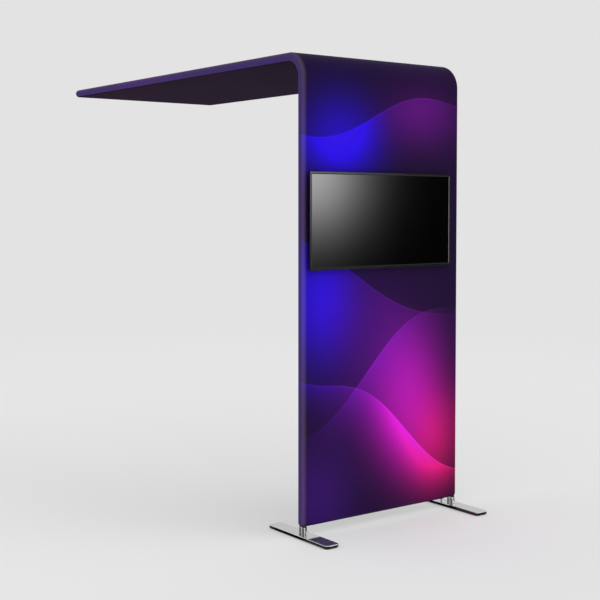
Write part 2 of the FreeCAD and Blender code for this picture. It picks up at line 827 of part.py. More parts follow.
def cover_sheet(label, facing):
    """One sheet of the cover, on the front (-1) or the rear (1) of the frame's middle surface."""
    body = new_body(label)
    profile = new_sketch(body, "XY_Plane", bottom_axis)
    half_section(profile, facing)
    pipe(body, profile, bent_path(body, bottom_axis, tip_axis))
    hem = new_sketch(body, "XY_Plane", bottom_axis)
    half_section(hem, facing)
    end_cap(body, hem, 0, facing > 0)
    tip = new_sketch(body, "XZ_Plane", -tip_axis)
    half_section(tip, -facing, canopy_axis)
    end_cap(body, tip, canopy_axis, facing < 0)
    zip_slot = new_sketch(body, "XY_Plane", cover_bottom - dim.overrun)
    rectangle(zip_slot, zip_length, dim.zip_width)
    pocket(body, zip_slot, dim.overrun + skin_radius / 2, 1)
    socket_holes = new_sketch(body, "XY_Plane", cover_bottom - dim.overrun)
    end_radius = dim.socket_width / 2 + dim.socket_clearance
    end_centre = tube_radius - dim.socket_width / 2
    for direction in (-1, 1):
        upright_slot(socket_holes, direction * side_spacing, -end_centre, end_centre, end_radius)
    pocket(body, socket_holes, dim.overrun + dim.socket_height + dim.socket_clearance, 1)
    place(body, 0, panel_y, 0)
    return sub_part(body)


front_cover = cover_sheet("front_cover", -1)
slits = new_sketch(front_cover, "XZ_Plane")
slit_radius = dim.stud_head_diameter / 2 + dim.slit_margin
for stud_x in (-stud_reach, stud_reach):
    for stud_z in (-stud_reach, stud_reach):
        slit_x = stud_x - dim.screen_offset
        slit_low = screen_z + stud_z
        upright_slot(slits, slit_x, slit_low, slit_low + dim.hang_lift, slit_radius)
pocket(front_cover, slits, skin_radius + dim.overrun, 1)
cover_sheet("rear_cover", 1)

# Zip along the bottom hem, with its slider and pull
zip_chain = new_body("zip_chain")
strip = new_sketch(zip_chain, "XY_Plane", cover_bottom - dim.zip_proud)
rectangle(strip, zip_length - 2 * dim.zip_clearance, dim.zip_width - 2 * dim.zip_clearance)
pad(zip_chain, strip, dim.zip_proud + dim.skin_thickness + dim.skin_gap / 2)
place(zip_chain, 0, panel_y, 0)
sub_part(zip_chain)

slider_x = zip_length / 2 - dim.slider_end_margin
slider_top = cover_bottom - dim.zip_proud - dim.zip_clearance
pull_swing = dim.pull_width / 2
pin_drop = dim.slider_thickness + pull_swing + dim.zip_clearance

zip_slider = new_body("zip_slider")
plate = new_sketch(zip_slider, "XY_Plane", -dim.slider_thickness)
rounded_rectangle(plate, dim.slider_length, dim.slider_width, dim.slider_corner_radius)
pad(zip_slider, plate, dim.slider_thickness)
ear_gap = dim.pull_thickness / 2 + dim.zip_clearance
ear_radius = dim.slider_ear_width / 2
for direction in (-1, 1):
    outer = ear_gap + dim.slider_ear_thickness
    ear = new_sketch(zip_slider, "XZ_Plane", outer if direction > 0 else -ear_gap)
    loop(ear, (0, -pin_drop, ear_radius, 180, 360), (ear_radius, -dim.slider_thickness / 2),
         (-ear_radius, -dim.slider_thickness / 2))
    pad(zip_slider, ear, dim.slider_ear_thickness, -1)
pivot = new_sketch(zip_slider, "XZ_Plane", ear_gap + dim.slider_ear_thickness / 2)
circle(pivot, 0, -pin_drop, dim.slider_pin_diameter / 2)
pad(zip_slider, pivot, 2 * ear_gap + dim.slider_ear_thickness, -1)
place(zip_slider, slider_x, panel_y, slider_top)
sub_part(zip_slider)

zip_pull = new_body("zip_pull")
tab = new_sketch(zip_pull, "XZ_Plane", dim.pull_thickness / 2)
upright_slot(tab, 0, dim.pull_width - dim.pull_length, 0, pull_swing)
circle(tab, 0, 0, dim.slider_pin_diameter / 2 + dim.zip_clearance)
window_radius = dim.pull_window_width / 2
window_end = dim.pull_width - dim.pull_length
upright_slot(tab, 0, window_end, window_end + dim.pull_window_length, window_radius)
pad(zip_pull, tab, dim.pull_thickness, -1)
place(zip_pull, slider_x, panel_y, slider_top - pin_drop)
sub_part(zip_pull)


# Flat screen: local axes at the middle of its front, depth along +Y

def at_depth(body, depth):
    return new_sketch(body, "XZ_Plane", -depth)


def screen_part(body):
    place(body, screen_x, screen_y, screen_z)
    return sub_part(body)


inner_width = dim.screen_width - 2 * dim.bezel_wall
inner_height = dim.screen_height - 2 * dim.bezel_wall
opening_width = dim.screen_width - 2 * dim.bezel_side
opening_height = dim.screen_height - dim.bezel_side - dim.bezel_bottom
opening_middle = (dim.bezel_bottom - dim.bezel_side) / 2
lip_middle = dim.bezel_bottom / 2 - dim.screen_height / 2

bezel = new_body("screen_bezel")
outline = at_depth(bezel, 0)
rounded_rectangle(outline, dim.screen_width, dim.screen_height, dim.bezel_corner_radius)
rim = pad(bezel, outline, dim.bezel_depth, -1)
fillet(bezel, rim, dim.bezel_edge_radius,
       lambda edge: max(vertex.Y for vertex in edge.Vertexes) < now(dim.bezel_edge_radius))
window = at_depth(bezel, 0)
rectangle(window, opening_width, opening_height, 0, opening_middle)
rectangle(window, dim.sensor_width, dim.sensor_height, dim.sensor_offset, lip_middle)
pocket(bezel, window, dim.bezel_depth + dim.overrun)
slope_mouth = at_depth(bezel, 0)
rectangle(slope_mouth, opening_width + 2 * dim.bezel_slope_width,
          opening_height + 2 * dim.bezel_slope_width, 0, opening_middle)
slope_foot = at_depth(bezel, dim.bezel_slope_depth)
rectangle(slope_foot, opening_width, opening_height, 0, opening_middle)
loft(bezel, "SubtractiveLoft", slope_mouth, slope_foot)
inside = at_depth(bezel, dim.bezel_lip)
rectangle(inside, inner_width, inner_height)
pocket(bezel, inside, dim.bezel_depth)
key_hole = new_sketch(bezel, "XY_Plane", -dim.screen_height / 2 - dim.overrun)
key_depth = (dim.bezel_lip + dim.bezel_depth) / 2
circle(key_hole, dim.key_offset, key_depth, dim.key_diameter / 2 + dim.key_clearance)
pocket(bezel, key_hole, dim.overrun + 2 * dim.bezel_wall, 1)
screen_part(bezel)

glass_bottom = dim.glass_bottom_room - inner_height / 2
glass_top = inner_height / 2 - dim.glass_clearance
glass_width = inner_width - 2 * dim.glass_clearance
glass = new_body("screen_glass")
sheet_outline = at_depth(glass, dim.bezel_lip)
rectangle(sheet_outline, glass_width, glass_top - glass_bottom, 0, (glass_top + glass_bottom) / 2)
pad(glass, sheet_outline, dim.glass_thickness, -1)
screen_part(glass)

chassis = new_body("screen_chassis")
chassis_front = dim.bezel_lip + dim.glass_thickness
chassis_back = chassis_front + dim.chassis_depth
chassis_width = glass_width - 2 * dim.chassis_inset
chassis_height = glass_top - glass_bottom - 2 * dim.chassis_inset
chassis_middle = (glass_top + glass_bottom) / 2
tray = at_depth(chassis, chassis_front)
rectangle(tray, chassis_width, chassis_height, 0, chassis_middle)
pad(chassis, tray, dim.chassis_depth, -1)
hollow = at_depth(chassis, chassis_front)
rectangle(hollow, chassis_width - 2 * dim.chassis_sheet, chassis_height - 2 * dim.chassis_sheet,
          0, chassis_middle)
pocket(chassis, hollow, dim.chassis_depth - dim.chassis_sheet)
nut_holes = at_depth(chassis, chassis_front)
for stud_x in (-stud_reach, stud_reach):
    for stud_z in (-stud_reach, stud_reach):
        circle(nut_holes, stud_x, stud_z, dim.stud_thread_diameter / 2 + dim.stud_thread_clearance)
pocket(chassis, nut_holes, dim.chassis_depth + dim.overrun)
screen_part(chassis)

shoulder_depth = dim.bezel_depth + dim.rear_cover_step
wall = dim.rear_cover_wall


def stepped_shell(body, kind, inset, overlap):
    """The rear cover's sloped rim and its raised middle, drawn in by inset."""
    first = at_depth(body, dim.bezel_depth)
    rounded_rectangle(first, dim.screen_width - 2 * inset, dim.screen_height - 2 * inset,
                      dim.bezel_corner_radius)
    second = at_depth(body, shoulder_depth - overlap)
    rounded_rectangle(second, dim.screen_width - 2 * dim.rear_cover_slope - 2 * inset,
                      dim.screen_height - 2 * dim.rear_cover_slope - 2 * inset, dim.bezel_corner_radius)
    loft(body, kind, first, second)
    third = at_depth(body, shoulder_depth - overlap)
    rounded_rectangle(third, dim.hump_width - 2 * inset, dim.hump_height - 2 * inset,
                      dim.hump_corner_radius)
    fourth = at_depth(body, dim.screen_depth - overlap)
    rounded_rectangle(fourth, dim.hump_width - 2 * dim.hump_slope - 2 * inset,
                      dim.hump_height - 2 * dim.hump_slope - 2 * inset, dim.hump_corner_radius)
    loft(body, kind, third, fourth)


shell = new_body("screen_rear_cover")
stepped_shell(shell, "AdditiveLoft", Size(0), Size(0))
stepped_shell(shell, "SubtractiveLoft", wall, wall)
stud_holes = at_depth(shell, dim.bezel_depth)
for stud_x in (-stud_reach, stud_reach):
    for stud_z in (-stud_reach, stud_reach):
        circle(stud_holes, stud_x, stud_z, dim.stud_thread_diameter / 2 + dim.stud_thread_clearance)
pocket(shell, stud_holes, dim.screen_depth)
VENT_COUNT = 12
vent_row = dim.vent_pitch * (VENT_COUNT - 1)
vent_low = dim.hump_height / 2 + dim.vent_width
vents = at_depth(shell, dim.bezel_depth)
for direction in (-1, 1):
    vent_x = direction * dim.hump_width / 4 - vent_row / 2
    upright_slot(vents, vent_x, vent_low, vent_low + dim.vent_length, dim.vent_width / 2)
row = shell.newObject("PartDesign::LinearPattern", "vent_row")
row.Originals = [pocket(shell, vents, dim.screen_depth)]
row.Direction = (vents, ["H_Axis"])
row.setExpression("Length", formula_of(vent_row))
row.Occurrences = VENT_COUNT
shell.Tip = row
screen_part(shell)

board = new_body("circuit_board_pattern")
card = at_depth(board, chassis_back + dim.board_spacer_height)
rectangle(card, dim.board_width, dim.board_height)
pad(board, card, dim.board_thickness, -1)
spacers = at_depth(board, chassis_back)
for direction_x in (-1, 1):
    for direction_z in (-1, 1):
        circle(spacers, direction_x * (dim.board_width / 2 - dim.board_spacer_inset),
               direction_z * (dim.board_height / 2 - dim.board_spacer_inset),
               dim.board_spacer_diameter / 2)
pad(board, spacers, dim.board_spacer_height, -1)
group("screen_circuit_boards", board,
      [spot(screen_x + direction * dim.board_spread / 2, screen_y, screen_z) for direction in (-1, 1)])

speaker = new_body("speaker_pattern")
box = at_depth(speaker, chassis_back)
rounded_rectangle(box, dim.speaker_width, dim.speaker_height, dim.speaker_corner_radius)
pad(speaker, box, dim.speaker_depth, -1)
speaker_x = dim.screen_width / 2 - dim.speaker_side_inset - dim.speaker_width / 2
speaker_z = dim.speaker_bottom_inset + dim.speaker_height / 2 - dim.screen_height / 2
group("screen_speakers", speaker,
      [spot(screen_x + direction * speaker_x, screen_y, screen_z + speaker_z) for direction in (-1, 1)])

sensor = new_body("screen_sensor_window")
lens = at_depth(sensor, dim.sensor_clearance)
rectangle(lens, dim.sensor_width - 2 * dim.sensor_clearance,
          dim.sensor_height - 2 * dim.sensor_clearance, dim.sensor_offset, lip_middle)
pad(sensor, lens, dim.bezel_lip, -1)
screen_part(sensor)

power_key = new_body("screen_power_key")
turned = new_sketch(power_key, "XZ_Plane")
key_radius = dim.key_diameter / 2
key_flange = dim.key_flange_diameter / 2
key_base = dim.bezel_wall + dim.key_clearance
key_back = key_base + dim.key_flange_thickness
loop(turned, (0, -dim.key_stand), (key_radius, -dim.key_stand), (key_radius, key_base),
     (key_flange, key_base), (key_flange, key_back), (0, key_back))
revolve(power_key, turned)
place(power_key, screen_x + dim.key_offset, screen_y + key_depth, dim.screen_bottom_height)
sub_part(power_key)

inlet = new_body("screen_power_inlet")
inlet_top = -dim.hump_height / 2 - dim.vent_width
block = at_depth(inlet, shoulder_depth)
rectangle(block, dim.inlet_width, dim.inlet_height, -dim.inlet_offset, inlet_top - dim.inlet_height / 2)
pad(inlet, block, dim.inlet_depth, -1)
socket = new_sketch(inlet, "XY_Plane", inlet_top - dim.inlet_height)
rectangle(socket, dim.inlet_width - 2 * dim.inlet_wall, dim.inlet_depth - 2 * dim.inlet_wall,
          -dim.inlet_offset, shoulder_depth + dim.inlet_depth / 2)
pocket(inlet, socket, dim.inlet_recess, 1)
screen_part(inlet)


# Hanging studs on the screen and the keyhole plate inside the frame

plate_front = crossbar_radius + dim.plate_thickness
stud_head_front = skin_radius + dim.screen_gap - crossbar_radius + dim.stud_clearance
stud = new_body("hanging_stud_pattern")
turned = new_sketch(stud, "XZ_Plane")
thread_radius = dim.stud_thread_diameter / 2
collar_radius = dim.stud_collar_diameter / 2
neck_radius = dim.stud_neck_diameter / 2
head_radius = dim.stud_head_diameter / 2
head_back = stud_head_front + dim.stud_head_thickness
loop(turned, (0, -dim.stud_thread_length), (thread_radius, -dim.stud_thread_length), (thread_radius, 0),
     (collar_radius, 0), (collar_radius, dim.stud_collar_thickness),
     (neck_radius, dim.stud_collar_thickness), (neck_radius, stud_head_front),
     (head_radius, stud_head_front), (head_radius, head_back), (0, head_back))
revolve(stud, turned)
BACKWARDS = axes_turn((1, 0, 0), (0, 0, -1), (0, 1, 0))
group("screen_hanging_studs", stud,
      [spot(screen_x + stud_x, screen_y + dim.screen_depth, screen_z + stud_z, BACKWARDS)
       for stud_x in (-stud_reach, stud_reach) for stud_z in (-stud_reach, stud_reach)])

keyhole_plate = new_body("keyhole_plate")
blank = new_sketch(keyhole_plate, "XZ_Plane", plate_front)
rounded_rectangle(blank, dim.plate_width, dim.plate_height, dim.plate_corner_radius)
rounded_rectangle(blank, dim.plate_window_width, dim.plate_window_height, dim.plate_corner_radius)
pad(keyhole_plate, blank, dim.plate_thickness, -1)
wide = new_sketch(keyhole_plate, "XZ_Plane", plate_front)
narrow = new_sketch(keyhole_plate, "XZ_Plane", plate_front)
for stud_x in (-stud_reach, stud_reach):
    for stud_z in (-stud_reach, stud_reach):
        circle(wide, stud_x, stud_z + dim.hang_lift, head_radius + dim.stud_clearance)
        upright_slot(narrow, stud_x, stud_z, stud_z + dim.hang_lift, neck_radius + dim.stud_clearance)
clamp_inside = crossbar_radius + dim.clamp_clearance
clamp_outside = clamp_inside + dim.clamp_thickness
bolt_reach = clamp_outside + dim.clamp_flange / 2
bolt_hole = dim.clamp_bolt_diameter / 2 + dim.clamp_bolt_clearance
bar_reach = dim.screen_crossbar_spacing / 2
for bolt_x in (-dim.clamp_spread / 2, dim.clamp_spread / 2):
    for bar_z in (-bar_reach, bar_reach):
        for bolt_z in (-bolt_reach, bolt_reach):
            circle(wide, bolt_x, bar_z + bolt_z, bolt_hole)
pocket(keyhole_plate, wide, dim.plate_thickness + dim.overrun)
pocket(keyhole_plate, narrow, dim.plate_thickness + dim.overrun)
place(keyhole_plate, screen_x, panel_y, screen_z)
sub_part(keyhole_plate)

clamp = new_body("clamp_pattern")
strap = new_sketch(clamp, "YZ_Plane", -dim.clamp_width / 2)
flange_end = clamp_outside + dim.clamp_flange
flange_back = dim.clamp_thickness - crossbar_radius
loop(strap, (-crossbar_radius, -flange_end), (flange_back, -flange_end), (flange_back, -clamp_outside),
     (0, 0, clamp_outside, -90, 90), (flange_back, clamp_outside), (flange_back, flange_end),
     (-crossbar_radius, flange_end), (-crossbar_radius, clamp_inside), (0, 0, clamp_inside, 90, -90),
     (-crossbar_radius, -clamp_inside))
pad(clamp, strap, dim.clamp_width)
holes = new_sketch(clamp, "XZ_Plane", crossbar_radius + dim.overrun)
for bolt_z in (-bolt_reach, bolt_reach):
    circle(holes, 0, bolt_z, bolt_hole)
pocket(clamp, holes, dim.clamp_thickness + 2 * dim.overrun)
clamp_places = [(screen_x + clamp_x, screen_z + bar_z)
                for clamp_x in (-dim.clamp_spread / 2, dim.clamp_spread / 2)
                for bar_z in (-bar_reach, bar_reach)]
group("plate_clamps", clamp, [spot(x, panel_y, z) for x, z in clamp_places])

bolt = new_body("clamp_bolt_pattern")
turned = new_sketch(bolt, "XZ_Plane")
bolt_radius = dim.clamp_bolt_diameter / 2
bolt_head = dim.clamp_bolt_head_diameter / 2
grip = dim.clamp_thickness + dim.plate_thickness
loop(turned, (0, -grip), (bolt_radius, -grip), (bolt_radius, 0), (bolt_head, 0),
     (bolt_head, dim.clamp_bolt_head_height), (0, dim.clamp_bolt_head_height))
revolve(bolt, turned)
group("clamp_bolts", bolt,
      [spot(x, panel_y + flange_back, z + bolt_z, BACKWARDS)
       for x, z in clamp_places for bolt_z in (-bolt_reach, bolt_reach)])


# Check everything, then write one file for each sub-part

doc.recompute()
for item in doc.Objects:
    if "Invalid" in item.State or "Error" in item.State:
        raise RuntimeError(f"{item.Label} failed: {item.State}")
for cut in cuts:
    if not cut.Shape.Volume < cut.BaseFeature.Shape.Volume:
        raise RuntimeError(f"{cut.Label} cuts nothing")
for item in sub_parts:
    if item.Shape.isNull() or not item.Shape.isValid():
        raise RuntimeError(f"{item.Label} has no valid shape")
os.makedirs("parts", exist_ok=True)
for item in sub_parts:
    item.Shape.exportStep(f"parts/{item.Label}.step")
print(f"{len(sub_parts)} sub-parts written")
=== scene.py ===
import json
import math

import bpy
import numpy as np
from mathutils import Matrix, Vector


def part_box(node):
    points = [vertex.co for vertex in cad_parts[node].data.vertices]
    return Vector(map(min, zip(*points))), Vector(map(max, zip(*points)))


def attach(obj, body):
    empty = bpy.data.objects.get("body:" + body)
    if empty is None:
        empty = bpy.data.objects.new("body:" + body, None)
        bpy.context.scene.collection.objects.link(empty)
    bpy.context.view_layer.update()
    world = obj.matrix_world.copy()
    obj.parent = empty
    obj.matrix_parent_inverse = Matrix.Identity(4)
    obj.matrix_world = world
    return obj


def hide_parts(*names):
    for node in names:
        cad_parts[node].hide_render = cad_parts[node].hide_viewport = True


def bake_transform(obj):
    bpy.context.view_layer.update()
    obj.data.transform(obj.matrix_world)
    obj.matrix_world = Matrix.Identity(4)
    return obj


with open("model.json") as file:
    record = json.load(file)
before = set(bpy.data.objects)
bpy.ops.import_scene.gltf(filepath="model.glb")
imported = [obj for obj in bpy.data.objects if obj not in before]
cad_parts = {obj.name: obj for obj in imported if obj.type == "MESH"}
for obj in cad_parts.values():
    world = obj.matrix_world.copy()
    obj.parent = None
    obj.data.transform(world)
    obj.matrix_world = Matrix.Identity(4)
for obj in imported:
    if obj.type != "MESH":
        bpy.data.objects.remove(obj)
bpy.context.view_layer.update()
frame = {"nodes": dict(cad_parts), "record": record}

# Exhibit booth: a taut printed cover over a tube frame, with a flat screen on its front.
# Metres; +X to the viewer's right, +Y backwards under the canopy, +Z up from the floor.

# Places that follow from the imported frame
cover_low, cover_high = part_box("front_cover")
tube_low, tube_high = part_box("left_lower_upright")
rail_low, rail_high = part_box("left_canopy_rail")
zip_low, zip_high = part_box("zip_chain")
stud_low, stud_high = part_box("screen_hanging_studs")
plate_low, plate_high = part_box("left_foot_plate")

PANEL_Y = (tube_low.y + tube_high.y) / 2
CANOPY_Z = (rail_low.z + rail_high.z) / 2
SKIN_RADIUS = cover_high.z - CANOPY_Z
HALF_SPACING = cover_high.x - SKIN_RADIUS
HEM_Z = cover_low.z + SKIN_RADIUS
TIP_Y = cover_high.y - SKIN_RADIUS
BEND_RADIUS = 0.100

RISE = CANOPY_Z - BEND_RADIUS - HEM_Z
TURN = BEND_RADIUS * math.pi / 2
RUN = TIP_Y - PANEL_Y - BEND_RADIUS

# Sewing of the cover
CLOTH_THICKNESS = 0.0007
SEAM_ANGLE = math.radians(145)
HEM_ANGLE = math.radians(90)
BAND_ROWS = 18
CORNER_STEPS = 8
RISE_ROWS = 80
TURN_ROWS = 30
RUN_ROWS = 86
ZIP_COLUMNS = 41
RIM_COLUMNS = 4
ZIP_HALF_LENGTH = (zip_high.x - zip_low.x) / 2
ZIP_HALF_WIDTH = (zip_high.y - zip_low.y) / 2
SOCKET_HALF_WIDTH = 0.011
SOCKET_TURN = math.radians(30)
SOCKET_ROWS = math.radians(25)

# Slits in the printed cloth for the screen's hanging studs
STUD_HEAD_RADIUS = 0.0075
SLIT_HALF_WIDTH = 0.0085
SLIT_LIFT = 0.018
STUD_X = np.array([stud_low.x + STUD_HEAD_RADIUS, stud_high.x - STUD_HEAD_RADIUS])
STUD_Z = np.array([stud_low.z + STUD_HEAD_RADIUS, stud_high.z - STUD_HEAD_RADIUS])

# Where the flat cut of each cloth lies on its UV map
CUT_SCALE = 6.0
CUT_LEFT = 0.75
CUT_BELOW = 0.25

ACROSS = np.array([1.0, 0.0, 0.0])
ONE_QUAD = np.array([[0, 1, 2, 3]])
STRIP_SIDES = 4
NEAR = 1e-6
SMALL_ANGLE = 1e-3


# Meshes

def new_piece(name, points, *faces, uv=None, smooth=True):
    """A piece at the origin from an array of points and arrays of faces, with one UV per point."""
    mesh = bpy.data.meshes.new(name)
    mesh.from_pydata(points.tolist(), [], sum((block.tolist() for block in faces), []))
    mesh.polygons.foreach_set("use_smooth", np.full(len(mesh.polygons), smooth))
    if uv is not None:
        layer = mesh.uv_layers.new(name="cut")
        corner = np.zeros(len(mesh.loops), np.int32)
        mesh.loops.foreach_get("vertex_index", corner)
        layer.uv.foreach_set("vector", uv[corner].astype(np.float32).ravel())
    mesh.validate()
    piece = bpy.data.objects.new(name, mesh)
    bpy.context.scene.collection.objects.link(piece)
    return piece


def grid_faces(rows, columns, closed=False):
    """Quads of a grid of rows by columns points, numbered row by row; closed joins the last column."""
    row = np.arange(rows - 1)[:, None]
    column = np.arange(columns if closed else columns - 1)[None, :]
    following = (column + 1) % columns
    quads = [row * columns + column, row * columns + following,
             (row + 1) * columns + following, (row + 1) * columns + column]
    return np.stack(np.broadcast_arrays(*quads), axis=-1)


def ease(share):
    """0 up to 0, 1 from 1 on, and an S-shaped rise between."""
    share = np.clip(share, 0, 1)
    return share * share * (3 - 2 * share)


def middle_surface(along):
    """Points, printed-side normals and forward directions of the frame's middle line, by the distance
    from the hem: straight up by RISE, round a quarter circle of BEND_RADIUS and straight back by RUN."""
    angle = np.clip((along - RISE) / BEND_RADIUS, 0, math.pi / 2)
    back = np.maximum(along - RISE - TURN, 0)
    none = np.zeros_like(along)
    y = PANEL_Y + BEND_RADIUS * (1 - np.cos(angle)) + back
    z = HEM_Z + np.minimum(along, RISE) + BEND_RADIUS * np.sin(angle)
    points = np.stack([none, y, z], axis=-1)
    normals = np.stack([none, -np.cos(angle), np.sin(angle)], axis=-1)
    forward = np.stack([none, np.sin(angle), np.cos(angle)], axis=-1)
    return points, normals, forward


def cover_stations():
    """Distances from the hem along the cover, closer round the bend, with lines on the slits' ends."""
    rise = np.linspace(0, RISE, RISE_ROWS, endpoint=False)
    turn = RISE + np.linspace(0, TURN, TURN_ROWS, endpoint=False)
    run = RISE + TURN + np.linspace(0, RUN, RUN_ROWS)
    slits = np.concatenate([STUD_Z - SLIT_HALF_WIDTH, STUD_Z + SLIT_LIFT + SLIT_HALF_WIDTH]) - HEM_Z
    return np.unique(np.concatenate([rise, turn, run, slits]))


def cover_columns():
    """Places across the cover, with lines on the zip's ends, the slits and the foot sockets' holes."""
    inner = HALF_SPACING - SOCKET_HALF_WIDTH
    even = np.linspace(-ZIP_HALF_LENGTH, ZIP_HALF_LENGTH, ZIP_COLUMNS)
    between = np.linspace(ZIP_HALF_LENGTH, inner, RIM_COLUMNS)[1:]
    rim = np.linspace(inner, HALF_SPACING, RIM_COLUMNS)[1:]
    slits = np.concatenate([STUD_X - SLIT_HALF_WIDTH, STUD_X + SLIT_HALF_WIDTH])
    return np.unique(np.concatenate([-rim, -between, even, slits, between, rim]))


class Edge:
    """The closed edge of one cloth's face, as stations. Each has a row and a column of the face and an
    angle on the flat cut that tells which way is out: 0 is right, then the tip, the left and the hem."""

    def __init__(self, along, across, facing):
        rows = np.arange(len(along))
        columns = np.arange(len(across))
        quarter = math.pi / 2
        turns = np.linspace(0, quarter, CORNER_STEPS + 2)[1:-1]
        lengths = [
            (rows, 0, 2 * quarter), (rows[-1], 0, 2 * quarter - turns),
            (rows[-1], columns, quarter), (rows[-1], columns[-1], quarter - turns),
            (rows[::-1], columns[-1], 0.0), (0, columns[-1], -turns),
            (0, columns[::-1], -quarter), (0, 0, -quarter - turns)]
        lengths = [np.broadcast_arrays(*length) for length in lengths]
        self.row, self.column, angle = (np.concatenate(values) for values in zip(*lengths))
        points, normals, forward = middle_surface(along)
        self.flat = np.stack([np.cos(angle), np.sin(angle)], axis=-1)
        self.outward = self.flat[:, :1] * ACROSS + self.flat[:, 1:] * forward[self.row]
        self.normal = normals[self.row] * facing
        self.across = across[self.column]
        self.along = along[self.row]
        self.middle = points[self.row] + self.across[:, None] * ACROSS
        self.from_hem = np.arccos(np.clip(-self.flat[:, 1], -1, 1))
        seam = SEAM_ANGLE if facing > 0 else math.pi - SEAM_ANGLE
        wrap = ease((self.from_hem - SOCKET_TURN) / (quarter - SOCKET_TURN))
        self.seam = HEM_ANGLE + (seam - HEM_ANGLE) * wrap
        at_zip = (self.from_hem < SMALL_ANGLE) & (np.abs(self.across) < ZIP_HALF_LENGTH + NEAR)
        self.seam[at_zip] = HEM_ANGLE - math.asin(ZIP_HALF_WIDTH / SKIN_RADIUS)

    def direction(self, angle):
        """Unit vectors that lean from the face's normal towards the outside by an angle."""
        return np.cos(angle)[:, None] * self.normal + np.sin(angle)[:, None] * self.outward

    def point(self, angle):
        """Points on the circle of SKIN_RADIUS round the edge."""
        return self.middle + SKIN_RADIUS * self.direction(angle)

    def cut(self, angle):
        """The same places on the flat cut: the arc unrolled straight out from the face's edge."""
        return np.stack([self.across, self.along], axis=-1) + SKIN_RADIUS * angle[:, None] * self.flat

    def socket_holes(self):
        """Which quads of the edge's band are cut away round the foot sockets: a strip of the hem beside
        each corner and the first part of the corner itself, from SOCKET_ROWS of the turn to the seam."""
        near = np.abs(self.across) >= HALF_SPACING - SOCKET_HALF_WIDTH - NEAR
        inside = near & (self.from_hem <= SOCKET_TURN + NEAR)
        turned = np.arange(BAND_ROWS)[:, None] / BAND_ROWS * HEM_ANGLE
        return (inside & np.roll(inside, -1))[None, :] & (turned >= SOCKET_ROWS - NEAR)


def stud_slits(along, across):
    """Which quads of the face are cut away behind the screen, where its hanging studs pass and lift."""
    x = (across[1:] + across[:-1]) / 2
    z = (along[1:] + along[:-1]) / 2 + HEM_Z
    beside = np.abs(x[:, None] - STUD_X) < SLIT_HALF_WIDTH
    level = np.abs(z[:, None] - STUD_Z - SLIT_LIFT / 2) < SLIT_LIFT / 2 + SLIT_HALF_WIDTH
    return level.any(axis=1)[:, None] & beside.any(axis=1)[None, :]


def on_uv(cut):
    """Places on the flat cut, moved clear of zero and scaled into the UV square."""
    return (cut + np.array([CUT_LEFT, CUT_BELOW])) / CUT_SCALE


def cover_cloth(name, facing):
    """One cloth of the cover, printed (facing 1) or rear (-1).

    The face is the middle surface moved out by SKIN_RADIUS. Round its edge the cloth follows a circle of
    SKIN_RADIUS about the edge of the middle surface, and about each corner a ball, as far as the seam."""
    along = cover_stations()
    across = cover_columns()
    points, normals, _ = middle_surface(along)
    face = (points + facing * SKIN_RADIUS * normals)[:, None, :] + across[None, :, None] * ACROSS
    cut = np.stack(np.broadcast_arrays(across[None, :], along[:, None]), axis=-1)
    edge = Edge(along, across, facing)
    angles = np.arange(1, BAND_ROWS + 1)[:, None] / BAND_ROWS * edge.seam
    band = np.stack([edge.point(angle) for angle in angles])
    band_cut = np.stack([edge.cut(angle) for angle in angles])
    quads = grid_faces(len(along), len(across))
    quads = quads[~stud_slits(along, across)] if facing > 0 else quads.reshape(-1, 4)
    ring = np.arange(angles.size).reshape(angles.shape) + len(along) * len(across)
    ring = np.concatenate([[edge.row * len(across) + edge.column], ring])
    following = np.roll(ring, -1, axis=1)
    sides = np.stack([ring[:-1], following[:-1], following[1:], ring[1:]], axis=-1)
    sides = sides[~edge.socket_holes()]
    pointed = sides[:, 0] == sides[:, 1]
    faces = [np.concatenate([quads, sides[~pointed]]), sides[pointed][:, 1:]]
    points = np.concatenate([face.reshape(-1, 3), band.reshape(-1, 3)])
    uv = on_uv(np.concatenate([cut.reshape(-1, 2), band_cut.reshape(-1, 2)]))
    used, corners = np.unique(np.concatenate([block.ravel() for block in faces]), return_inverse=True)
    count = faces[0].size
    faces = [corners[:count].reshape(-1, 4)[:, ::facing], corners[count:].reshape(-1, 3)[:, ::facing]]
    piece = new_piece(name, points[used], *faces, uv=uv[used])
    wall = piece.modifiers.new("cloth", "SOLIDIFY")
    wall.thickness = CLOTH_THICKNESS
    wall.offset = -1
    return piece, edge


def tube(name, middle, outward, half_width, height, sides):
    """A bead along a line of points: at each point an ellipse of half_width to the side and height along
    the outward direction, or with four sides the rectangle inside it, with both ends closed."""
    forward = np.gradient(middle, axis=0)
    sideways = np.cross(forward, outward)
    sideways /= np.linalg.norm(sideways, axis=1)[:, None]
    around = (np.arange(sides) + 0.5) * (2 * math.pi / sides)
    ring = (half_width * np.cos(around)[None, :, None] * sideways[:, None, :]
            + height * np.sin(around)[None, :, None] * outward[:, None, :])
    points = (middle[:, None, :] + ring).reshape(-1, 3)
    walls = grid_faces(len(middle), sides, closed=True).reshape(-1, 4)
    first = np.arange(sides)[None, :]
    last = len(points) - 1 - first
    length = np.concatenate([[0], np.cumsum(np.linalg.norm(np.diff(middle, axis=0), axis=1))])
    uv = np.broadcast_arrays(around[None, :] / (2 * math.pi), length[:, None] / CUT_SCALE)
    uv = np.stack(uv, axis=-1).reshape(-1, 2)
    return new_piece(name, points, walls, first, last, uv=uv, smooth=sides > STRIP_SIDES)


# Shaders

